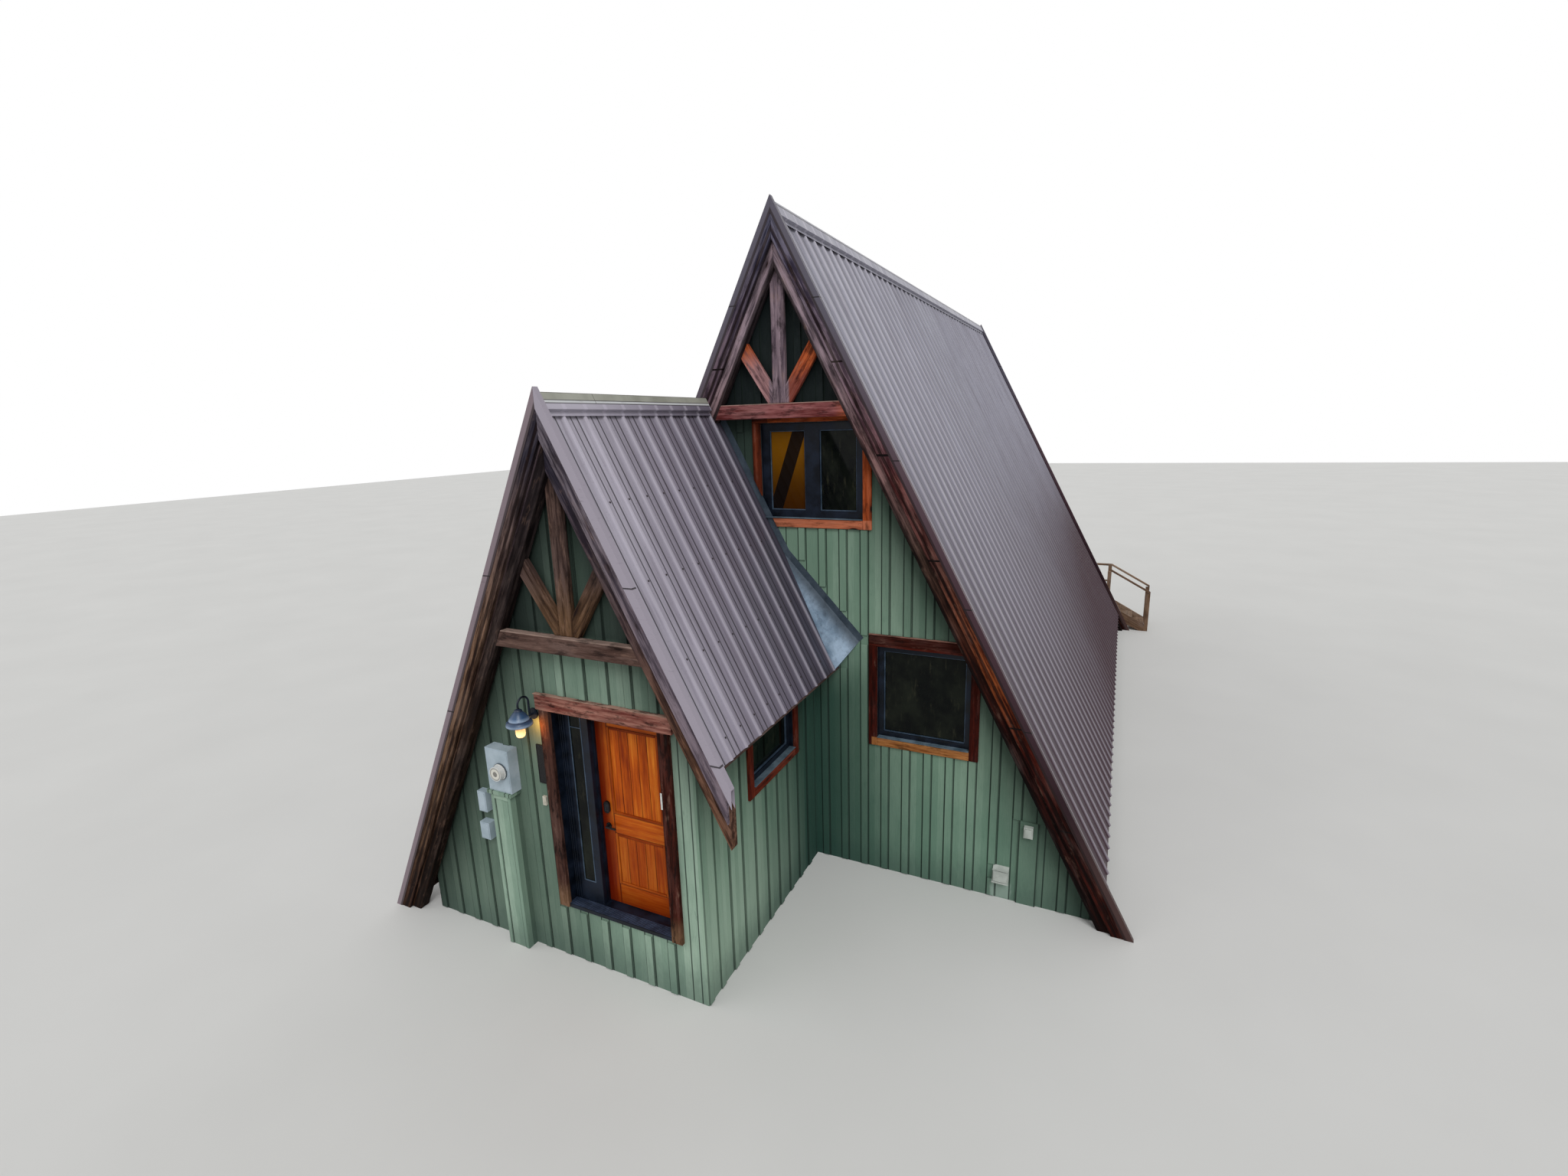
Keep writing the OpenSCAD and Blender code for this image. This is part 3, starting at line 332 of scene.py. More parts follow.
def close(piece, finish, ease=0.0, segments=1, body="cabin", grained=False, smooth=None, angle=30):
    """Ends a piece: eases its edges, and gives it its grain, its finish and the body that it rides on."""
    bpy.ops.object.mode_set(mode="OBJECT")
    if ease:
        bevel = piece.modifiers.new("eased", "BEVEL")
        bevel.width, bevel.segments = ease, segments
        bevel.limit_method, bevel.angle_limit = "ANGLE", math.radians(angle)
        bevel.use_clamp_overlap = True
        bpy.ops.object.modifier_apply(modifier=bevel.name)
    if grained:
        grain(piece)
    piece.data.materials.clear()
    piece.data.materials.append(finish.material)
    if smooth:
        bpy.ops.object.select_all(action="DESELECT")
        piece.select_set(True)
        bpy.context.view_layer.objects.active = piece
        bpy.ops.object.shade_smooth_by_angle(angle=math.radians(smooth))
    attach(piece, body)
    return piece


def sawn(name, finish, ease, piece_name=None):
    """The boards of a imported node, redrawn in its place with eased edges and grain."""
    piece = copy_node(name, piece_name or name + "_sawn")
    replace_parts(close(piece, finish, ease, grained=True), name)


def own_grain(wood):
    """The place in a board's own grain, far from its neighbours' places, and the board's number."""
    board = wood.attribute("board", 2)
    apart = wood.vector(board * 31.0, board * 17.0, board * 23.0)
    own = wood.node("ShaderNodeVectorMath", {"operation": "ADD"}, {0: wood.attribute("grain", 1), 1: apart})
    return own, board


def timber(name, dark, middle, light, grey=0.35, knots=1.0, tint=None, rough=0.78):
    """Sawn and stained softwood: streaks along the grain, knots, grey weathered patches and a raised grain."""
    wood = Finish(name, Specular_IOR_Level=0.08)
    own, board = own_grain(wood)
    streak = wood.noise(6.0, (0.35, 4.5, 4.5), own, 5.0, 0.6)
    hair = wood.noise(9.0, (0.8, 26, 26), own, 3.0, 0.6)
    patch = wood.noise(1.7, (0.7, 1.6, 1.6), own, 4.0, 0.6, (3, 1, 2))
    blot = wood.noise(7.0, (0.55, 1.9, 1.9), own, 5.0, 0.68, (5, 2, 4))
    knot_place = wood.node("ShaderNodeMapping", values={"Vector": own, "Scale": (1.5, 6.5, 0.01)})
    cell = wood.node("ShaderNodeTexVoronoi", {"feature": "F1"},
                     {"Vector": knot_place, "Scale": 1.0, "Randomness": 1.0})
    knot = wood.fade(cell + (hair - 0.5) * 0.04, 0.05, 0.11, 1.0, 0.0) * knots
    halo = wood.fade(cell, 0.1, 0.3, 1.0, 0.0) * (0.4 * knots)
    colour = wood.ramp(streak * 0.75 + board * 0.3, (0.25, dark), (0.5, middle), (0.78, light))
    if tint:
        colour = tint(wood, colour, patch, streak)
    bleach = wood.fade(patch + (streak - 0.5) * 0.7, 0.5, 0.74)
    colour = wood.mix(bleach * grey, colour, (128, 112, 108))
    colour = wood.mix(wood.fade(blot, 0.50, 0.66, 0.0, 0.62) * knots, colour, wood.mix(0.8, colour, (14, 8, 8)))
    colour = wood.mix(wood.fade(blot, 0.44, 0.28, 0.0, 0.34) * knots, colour, wood.mix(0.4, colour, (186, 148, 128)))
    colour = wood.mix(wood.fade(hair, 0.35, 0.75, 0.0, 0.38), colour, dark, "MULTIPLY")
    colour = wood.mix(halo, colour, middle, "MULTIPLY")
    colour = wood.mix(knot, colour, (28, 16, 14))
    height = hair * 0.5 + streak * 0.8 - knot * 0.7 - blot * 0.5
    return wood.paint(Base_Color=colour, Roughness=wood.fade(patch, 0.3, 0.7, rough - 0.12, rough + 0.1),
                      Normal=wood.relief(height, 0.004, 0.55))


def depth_under(finish, apex):
    """How deep a point lies under the outer line of a roof, square to the slope."""
    x, _, z = finish.axes()
    return (apex.z - z) * math.cos(pitch) - abs(x - apex.x) * math.sin(pitch)


def roof_depth(finish, entry):
    """The depth under the main roof, or under the entry roof where entry is 1."""
    return depth_under(finish, main_apex) * (1.0 - entry) + depth_under(finish, entry_apex) * entry


def bands(wood, rise, streak, *stops):
    """Stain that changes up a gable. Each stop is a height with the dark and the light of the grain there."""
    tallest = 8.0
    dark, light = (wood.ramp(rise / tallest, *[(stop[0] / tallest, stop[k]) for stop in stops]) for k in (1, 2))
    return wood.stain(streak, dark, light, 0.38, 0.62)


def lines(wire, half, *levels):
    """1 within half a line's width of each level, else 0."""
    found = abs(wire - levels[0]) < half
    for one in levels[1:]:
        found = found | (abs(wire - one) < half)
    return found


# The barge boards close the edges of both roofs at the gables. Rain takes the stain off their tops, which turn
# purple-grey, and the shaded lower boards keep a red and orange stain. They are butted end to end, with a dark joint
# every couple of metres. A painted shadow line runs between the wide upper board and the narrow one under it, and
# painted shade darkens their lower edge.
def barge_tint(wood, colour, patch, streak):
    x, y, z = wood.axes()
    entry, right = y < entry_starts, x > entry_apex.x
    two_boards = 1.0 - entry * right
    rise = z + (patch - 0.5) * 1.1
    main = bands(wood, rise, streak,
                 (0.2, (26, 5, 3), (72, 26, 18)), (1.2, (8, 0, 0), (42, 10, 6)), (2.0, (26, 2, 1), (74, 22, 12)),
                 (2.9, (66, 20, 6), (146, 76, 38)), (3.9, (38, 20, 17), (98, 64, 56)),
                 (4.9, (60, 22, 22), (124, 76, 74)), (6.2, (72, 57, 67), (146, 123, 135)),
                 (7.7, (46, 45, 65), (108, 106, 126)))
    main = wood.mix((x < ridge_x) * wood.fade(z, 5.6, 6.1) * 0.35, main, (30, 32, 50))
    grey = bands(wood, rise, streak, (2.6, (82, 72, 82), (132, 118, 128)), (5.6, (52, 46, 56), (118, 110, 120)))
    brown = bands(wood, rise, streak,
                  (0.3, (14, 5, 3), (66, 42, 30)), (1.6, (56, 36, 24), (112, 86, 66)),
                  (3.6, (58, 40, 30), (132, 102, 82)), (4.7, (52, 40, 40), (112, 92, 88)),
                  (5.4, (22, 20, 32), (56, 52, 64)))
    colour = wood.mix(entry, main, wood.mix(right, brown, grey))
    depth = roof_depth(wood, entry)
    # Painted shadow in the gap between the two boards, and painted shade along their lower edge.
    gap = wood.fade(abs(depth - 0.152), 0.022, 0.012) * two_boards * 0.8
    foot = wood.fade(depth, 0.190, 0.200) * two_boards * 0.6
    colour = wood.mix(gap | foot, colour, (20, 5, 4))
    joint = lines(z, 0.010, 6.25, 4.10, 2.28, 1.16) | lines(z, 0.012, 5.24)
    return wood.mix(joint * (1.0 - entry), colour, (16, 8, 8))


barge_wood = timber("barge_board_stain_and_shadow", (42, 27, 28), (82, 58, 58), (118, 94, 94), 0.16, 0.9, barge_tint)
sawn("barge_boards", barge_wood, 0.004)


# The gable rafters are heavier beams behind the barge boards, set back from them. A painted shadow line runs between
# the two, and painted shade darkens the rafters' inner part. They are paler and greyer than the boards near the ridge,
# and dark red-brown lower down where they stay wet.
def rafter_tint(wood, colour, patch, streak):
    x, y, z = wood.axes()
    entry, right = y < entry_starts, x > entry_apex.x
    rise = z + (patch - 0.5) * 0.9
    main = bands(wood, rise, streak,
                 (0.4, (10, 2, 2), (40, 14, 10)), (2.2, (18, 2, 1), (48, 12, 8)), (3.2, (36, 12, 7), (76, 38, 26)),
                 (4.1, (44, 31, 26), (90, 70, 60)), (5.2, (82, 58, 58), (154, 118, 116)),
                 (6.5, (90, 78, 86), (164, 144, 154)))
    warm = bands(wood, rise, streak,
                 (2.8, (58, 38, 30), (116, 82, 64)), (3.9, (46, 34, 36), (88, 70, 70)),
                 (5.2, (32, 28, 40), (64, 58, 70)))
    brown = bands(wood, rise, streak,
                  (0.5, (34, 18, 10), (86, 58, 40)), (2.4, (66, 44, 34), (122, 92, 72)),
                  (4.8, (48, 38, 44), (88, 74, 80)))
    colour = wood.mix(entry, main, wood.mix(right, brown, warm))
    depth = roof_depth(wood, entry)
    # Painted shade beside the barge boards and over the rafters' inner part; on the entry's left it covers most of the
    # rafter.
    lower = wood.fade(depth, 0.208, 0.226) * entry * (1.0 - right) | wood.fade(depth, 0.222, 0.205) * (1.0 - entry)
    lower = lower | wood.fade(depth, 0.285, 0.305) * (1.0 - entry * right)
    return wood.mix(lower * 0.85, colour, (9, 4, 4))


rafter_wood = timber("gable_rafter_stain_and_shade", (58, 42, 40), (104, 82, 78), (136, 112, 108), 0.16, 1.0, rafter_tint)
sawn("gable_rafters", rafter_wood, 0.006)


# Each gable has a truss: a king post and two struts, let into the collar tie and the rafters. The struts of the main
# gable are orange where they meet the rafters and faded to purple-grey lower down. The entry's are brown, with an
# amber foot.
def web_tint(wood, colour, patch, streak):
    x, y, z = wood.axes()
    entry, right = y < entry_starts, x > ridge_x
    strut = wood.fade(abs(x - ridge_x), 0.11, 0.14)
    mauve = wood.stain(streak, (78, 65, 75), (154, 134, 144))
    orange = wood.stain(streak, (110, 34, 16), (204, 104, 58))
    faded = wood.mix(right, wood.stain(streak, (116, 84, 88), (192, 146, 146)),
                     wood.mix(streak, (92, 36, 28), (156, 84, 70)))
    fresh = wood.fade(z + (streak - 0.5) * 0.5 + right * 0.16, 6.2, 6.5)
    main = wood.mix(strut, mauve, wood.mix(fresh, faded, orange))
    brown, amber = wood.stain(streak, (38, 25, 23), (90, 70, 64)), wood.stain(streak, (56, 38, 26), (116, 86, 58))
    brown = wood.mix(wood.fade(z + (streak - 0.5) * 0.6, 4.4, 3.9) * 0.8, brown, amber)
    return wood.mix(entry, main, brown)


truss_wood = timber("truss_stain", (56, 40, 38), (104, 80, 72), (146, 120, 108), 0.12, 1.4, web_tint)
sawn("truss_webs", truss_wood, 0.007)


# The collar ties are sawn beams, bolted across the rafters under the trusses. The main tie is red with an orange
# right end, the entry's is brown, and both have a pale top edge where rain lies on it.
def tie_tint(wood, colour, patch, streak):
    x, y, z = wood.axes()
    main = y > entry_starts
    colour = wood.mix(main, colour, wood.stain(streak, (92, 36, 36), (172, 108, 108)))
    bright = wood.mix(streak, (146, 62, 32), (206, 116, 76))
    colour = wood.mix(main * wood.fade(x + patch * 0.3, ridge_x + 0.80, ridge_x + 1.05), colour, bright)
    crest = (wood.fade(z, 5.826, 5.834) * main) | (wood.fade(z, 3.708, 3.717) * (1.0 - main))
    return wood.mix(crest * 0.6, colour, (176, 152, 140))


tie_wood = timber("collar_tie_stain", (34, 20, 18), (74, 54, 48), (110, 86, 78), 0.2, 1.4, tie_tint)
sawn("collar_ties", tie_wood, 0.006)

# Boards close the eaves under the metal. They are the same stained softwood, nailed to the ends of the decks, grey
# and dirty where the roof drips past them.
eave_wood = timber("eave_board_stain", (48, 36, 34), (88, 70, 64), (122, 104, 96), 0.6, 0.8)
sawn("eave_fascia", eave_wood, 0.003, "eave_boards_sawn")


# The roofing is folded steel sheet with a baked mauve-brown coat, laid from ridge to eave in long pans with a raised
# rib at each joint. The coat is satin. Its colour carries a painted sheen and painted shade: pale high up and at the
# front of the entry roof, darker low down and toward the back. Water has left faint runs down the pans.
def main_coat_sheen_and_shade(metal, y, z, wave):
    """The colour of the main roof's coat with a painted sky sheen, paler by height and darker toward the back and the
    front.
    """
    far = metal.fade(y, face_y + 5.0, face_y + 12.8, 0.0, 2.3) * metal.fade(z, 4.7, 1.7)
    near = metal.fade(y, face_y + 1.4, face_y)
    return metal.mix(metal.fade(z + wave * 1.3 - far - near, 0.0, 6.4), (58, 37, 45), (145, 144, 157))


def entry_coat_sheen_and_shade(metal, y, z, wave):
    """The colour of the entry roof's coat, palest at the front, with painted shade toward the main wall."""
    reach = (y - (face_y - 2.8)) / 2.7 + (5.5 - z) * 0.12 + wave * 0.2
    return metal.ramp(reach * 0.8, (0.14, (174, 169, 182)), (0.46, (138, 132, 146)), (0.80, (97, 92, 106)),
                      (1.0, (66, 62, 75)))


def sheet_finish(name, apex, first_rib, spacing, coat_and_painted_light_at):
    """One roof's coat: runs and dust, dark grooves beside the ribs, and chalk with a painted highlight on their
    crowns.
    """
    metal = Finish(name, Specular_IOR_Level=0.3)
    _, y, z = metal.axes()
    crown = metal.fade(depth_under(metal, apex), 0.084, 0.068)
    number = (y - (first_rib - spacing / 2)) / spacing
    chance = metal.chance(number - (number % 1.0))
    runs = metal.noise(2.2, (0.5, 9, 0.5), None, 5.0, 0.6)
    cloud = metal.noise(0.7, detail=4.0, rough=0.6)
    speck = metal.noise(60, detail=2.0, rough=0.5)
    coat = coat_and_painted_light_at(metal, y, z, (cloud - 0.5) + (runs - 0.5) * 0.7)
    coat = metal.mix((chance - 0.5) * 0.3 + 0.15, coat, metal.mix(0.5, coat, (60, 50, 58)))
    coat = metal.mix(metal.fade(runs, 0.42, 0.7, 0.0, 0.28), coat, (70, 58, 66))
    coat = metal.mix(metal.fade(speck, 0.62, 0.75, 0.0, 0.25), coat, (58, 48, 54))
    beside = abs((number % 1.0) - 0.5) * spacing
    groove = metal.fade(abs(beside - (spacing / 2 - 0.040)), 0.012, 0.004) * (1.0 - crown)
    coat = metal.mix(groove * 0.85, coat, (26, 20, 26))
    # Pale crowns: chalk and a painted highlight, strongest at the front.
    chalk = metal.fade(y, face_y + 1.5, face_y + 8.0, 0.5, 0.06)
    coat = metal.mix(crown * chalk, coat, metal.mix(0.6, coat, (214, 208, 222)))
    return metal.paint(Base_Color=coat, Roughness=metal.fade(cloud + (runs - 0.5) * 0.5, 0.3, 0.75, 0.36, 0.54),
                       Normal=metal.relief(runs * 0.6 + speck * 0.1, 0.003, 0.25))


main_pan, entry_pan = 0.270, 0.279
main_first_rib, entry_first_rib = face_y + 0.298, face_y - 2.507
main_roof = (main_apex, main_first_rib, main_pan, main_coat_sheen_and_shade)
entry_roof = (entry_apex, entry_first_rib, entry_pan, entry_coat_sheen_and_shade)
sheet_finish("main_roof_coat_sheen_and_shade", *main_roof).cover("main_roofing")
entry_sheet = sheet_finish("entry_roof_coat_sheen_and_shade", *entry_roof).cover("entry_roofing")


# Screws with a rubber washer hold the pans down, in rows beside the ribs. One head is modelled and set out in rows
# along each slope.
def slope_point(apex, sign, run, lift, y):
    """A point on a roof slope: run metres down from the ridge and lift metres off the outer line."""
    x = apex.x + sign * (run * math.cos(pitch) + lift * math.sin(pitch))
    return Vector((x, y, apex.z - run * math.sin(pitch) + lift * math.cos(pitch)))


def square_to(sign):
    """The direction square to a slope, outward."""
    return Vector((sign * math.sin(pitch), 0, math.cos(pitch)))


def repeat(piece, count, step):
    """Sets a piece out in a row, applied."""
    array = piece.modifiers.new("row", "ARRAY")
    array.count = count
    array.use_relative_offset, array.use_constant_offset = False, True
    array.constant_offset_displace = step
    bpy.ops.object.modifier_apply(modifier=array.name)


def screw_rows(name, roof, sign, first_run, step, rows, count, radius):
    """Rows of screws on one slope, each screw beside a rib."""
    apex, first_rib, spacing, _ = roof
    head = slope_point(apex, sign, first_run, -0.089, first_rib + 0.075)
    tipped = (0, sign * pitch, 0)
    piece = begin(name)
    bpy.ops.mesh.primitive_cylinder_add(vertices=8, radius=radius, depth=0.004, location=head, rotation=tipped)
    bpy.ops.mesh.primitive_cone_add(vertices=6, radius1=radius * 0.62, radius2=radius * 0.5, depth=0.006,
                                    location=head + square_to(sign) * 0.004, rotation=tipped)
    bpy.ops.object.mode_set(mode="OBJECT")
    repeat(piece, rows, (sign * step * math.cos(pitch), 0, -step * math.sin(pitch)))
    repeat(piece, count, (0, spacing, 0))
    close(piece, screw_coat)


screw_coat = Finish("screw_head_rubber", Roughness=0.5)
screw_coat.paint(Base_Color=screw_coat.mix(screw_coat.noise(30), (40, 34, 38), (64, 54, 58)))
for label, sign, rows in (("right", 1, 4), ("left", -1, 7)):
    screw_rows("entry_screws_" + label, entry_roof, sign, 1.10, 0.79, rows, 10, 0.011)
for label, sign in (("right", 1), ("left", -1)):
    screw_rows("main_screws_" + label, main_roof, sign, 0.95, 0.82, 10, 45, 0.009)

# Two low stiffening ribs are rolled into each wide pan of the entry roof. They are part of the sheet, only a few
# millimetres high, and run from the cap to the eave.
rib_gap, rib_start = 0.093, 0.22
first_pan = entry_first_rib + entry_pan / 2
for label, sign, eave in (("right", 1, 3.62), ("left", -1, 6.2)):
    ribs = begin("entry_pan_ribs_" + label)
    for offset in (-rib_gap / 2, rib_gap / 2):
        middle = slope_point(entry_apex, sign, (rib_start + eave) / 2, -0.090, first_pan + offset)
        bpy.ops.mesh.primitive_cube_add(size=1, location=middle, scale=(eave - rib_start, 0.026, 0.003),
                                        rotation=(0, sign * pitch, 0))
    bpy.ops.object.mode_set(mode="OBJECT")
    repeat(ribs, 9, (0, entry_pan, 0))
    close(ribs, entry_sheet, 0.0012, 2)


# Folded caps cover the ridges. The main cap has the mauve coat of the roof, and the entry's is cream with a bright
# hem. Both have a lap every few metres, and painted shade lies along their folds. Under the hem a closure strip,
# folded to the ribs and coated like the roof, fills the gap.
cap_length, first_lap = 2.95, 0.9


def cap_finish(name, coat, shade, hem, ends, apex, first_rib, spacing, coat_and_painted_light_at):
    """One cap's coat, hem and laps, and the closure strip under it. ends are the depths where cap and hem end."""
    metal = Finish(name, Specular_IOR_Level=0.5)
    _, y, z = metal.axes()
    cloud = metal.noise(1.4, (1, 2.5, 1), detail=4.0)
    drop = apex.z - z
    colour = metal.mix(drop > ends[0], metal.stain(cloud, shade, coat), hem)
    lap = lines((y - face_y) % cap_length, 0.0035, first_lap)
    colour = metal.mix(lap * 0.8, colour, (50, 46, 46))
    grime = metal.noise(14, (1, 0.4, 3), detail=4.0)
    colour = metal.mix(metal.fade(grime, 0.55, 0.8, 0.0, 0.35), colour, (94, 88, 84))
    beside = abs((((y - first_rib) / spacing + 0.5) % 1.0) - 0.5) * spacing
    pan = coat_and_painted_light_at(metal, y, z, cloud - 0.5)
    # The closure's rib crowns take the same chalk and painted highlight.
    chalk = metal.fade(beside, 0.030, 0.018) * metal.fade(y, face_y + 1.5, face_y + 8.0, 0.4, 0.06)
    colour = metal.mix(drop > ends[1], colour, metal.mix(chalk, pan, (196, 190, 204)))
    # Painted shade along the folds at the cap's edge and the hem's, and a darker band along the top of the cap.
    fold = metal.fade(abs(drop - ends[0]), 0.0055, 0.0025) | metal.fade(abs(drop - ends[1]), 0.0060, 0.0030)
    fold = fold | metal.fade(drop, 0.050, 0.047) * 0.7
    colour = metal.mix(fold * 0.85, colour, (40, 36, 40))
    return metal.paint(Base_Color=colour, Roughness=metal.fade(cloud, 0.3, 0.7, 0.32, 0.5),
                       Normal=metal.relief(cloud, 0.004, 0.2))


cap_finish("main_cap_coat_and_shade", (178, 177, 188), (150, 149, 160), (110, 107, 118), (0.066, 0.076),
           *main_roof).cover("main_ridge_cap")
cap_finish("entry_cap_coat_and_shade", (160, 161, 150), (140, 141, 130), (200, 202, 204), (0.1100, 0.1370),
           *entry_roof).cover("entry_ridge_cap")

# Edge flashing of the same steel folds over the edge of the roof and down the barge boards, in lengths lapped over
# each other. Its lower edge is hemmed back, with painted shadow under the hem. The right side of the entry is palest.
flashing = Finish("edge_flashing_coat_and_shadow", Specular_IOR_Level=0.2)
x, y, z = flashing.axes()
entry, right = y < entry_starts, x > entry_apex.x
cloud = flashing.noise(1.1, detail=4.0, rough=0.6)
main = flashing.ramp((z + (cloud - 0.5) * 1.2) / 8.0, (0.04, (72, 52, 50)), (0.17, (40, 20, 28)),
                     (0.42, (68, 46, 54)), (0.62, (84, 66, 74)), (0.85, (88, 84, 96)))
colour = flashing.mix(entry, main, flashing.mix(right, (126, 112, 119), (157, 150, 162)))
# Painted shadow under the hem, except on the entry's right side.
hem = flashing.fade(roof_depth(flashing, entry), 0.052, 0.064) * (1.0 - entry * right)
colour = flashing.mix(hem * 0.8, colour, (30, 16, 17))
entry_lap = lines(z, 0.007, 4.27) | lines(z, 0.008, 2.76)
lap = lines(z, 0.007, 6.93, 5.18, 3.58, 2.26) * (1.0 - entry) | entry_lap * entry
colour = flashing.mix(lap * 0.85, colour, (26, 20, 22))
scratch = flashing.noise(5, (1, 1, 6), None, 6.0, 0.7)
colour = flashing.mix(flashing.fade(scratch, 0.6, 0.72, 0.0, 0.3), colour, (60, 50, 54))
flashing.paint(Base_Color=colour, Roughness=flashing.fade(cloud, 0.3, 0.7, 0.34, 0.5),
               Normal=flashing.relief(cloud + scratch * 0.2, 0.003, 0.2)).cover("edge_flashing")

# A cricket of plain galvanised steel turns water off the main wall onto the entry roof's eave. It is dull blue-grey
# with bright spangle, its upper edge is turned up the wall, and it is darker along the wall.
zinc = Finish("galvanised_steel", Metallic=0.3, Specular_IOR_Level=0.5)
y = zinc.axes()[1]
spangle = zinc.node("ShaderNodeTexVoronoi", {"feature": "F1"}, {"Vector": zinc.place(), "Scale": 34.0}, output=1)
spangle = zinc.node("ShaderNodeHueSaturation", values={"Saturation": 0.0, "Color": spangle})
cloud = zinc.noise(3.0, detail=5.0, rough=0.65)
streaks = zinc.noise(5.0, (2.2, 7, 1.2), None, 5.0, 0.7)
colour = zinc.mix(zinc.fade(cloud, 0.35, 0.68), (98, 120, 140), (150, 170, 190))
colour = zinc.mix(0.12, colour, spangle, "OVERLAY")
colour = zinc.mix(zinc.fade(streaks, 0.5, 0.75, 0.0, 0.6), colour, (44, 54, 68))
colour = zinc.mix(zinc.fade(y, face_y + 0.13, face_y + 0.19, 0.0, 0.8), colour, (40, 48, 56))
zinc.paint(Base_Color=colour, Roughness=zinc.fade(cloud, 0.3, 0.7, 0.32, 0.55),
           Normal=zinc.relief(cloud + streaks * 0.3, 0.004, 0.3)).cover("cricket_flashing")

# The roof decks are thick insulated slopes. Their underside shows at the eaves and inside as dark stained boards,
# laid level and nailed up edge to edge.
deck = Finish("roof_deck_boards", Roughness=0.8)
x, _, z = deck.axes()
deck_board = 0.14
down = abs(x - ridge_x) * math.cos(pitch) - z * math.sin(pitch)
seam = (down % deck_board) / deck_board < 0.05
streak = deck.noise(4.0, (6, 0.6, 6), None, 4.0, 0.6)
colour = deck.mix(seam * 0.8, deck.stain(streak, (58, 36, 24), (104, 70, 44)), (18, 12, 10))
deck.paint(Base_Color=colour, Normal=deck.relief(streak - seam * 1.0, 0.003, 0.5))
deck.cover("main_roof_left", "main_roof_right", "entry_roof_left", "entry_roof_right")


# The walls are clad in wide upright boards with a batten over each joint, rough-sawn and painted sage green. A
# painted shadow line runs along each batten, and painted shade darkens the walls under the slopes, behind the
# trusses and in the inside corner.
batten_w, batten_t = 0.086, 0.019
main_board, entry_board, side_board = 0.2645, 0.2775, 0.28
main_first, entry_first, side_first = ridge_x + 0.735, ridge_x - 0.337, face_y - 2.325
entry_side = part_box("entry_right_wall")[1].x
hood_low, hood_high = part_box("vent_hood")
hood_x = hood_low.lerp(hood_high, 0.5).x


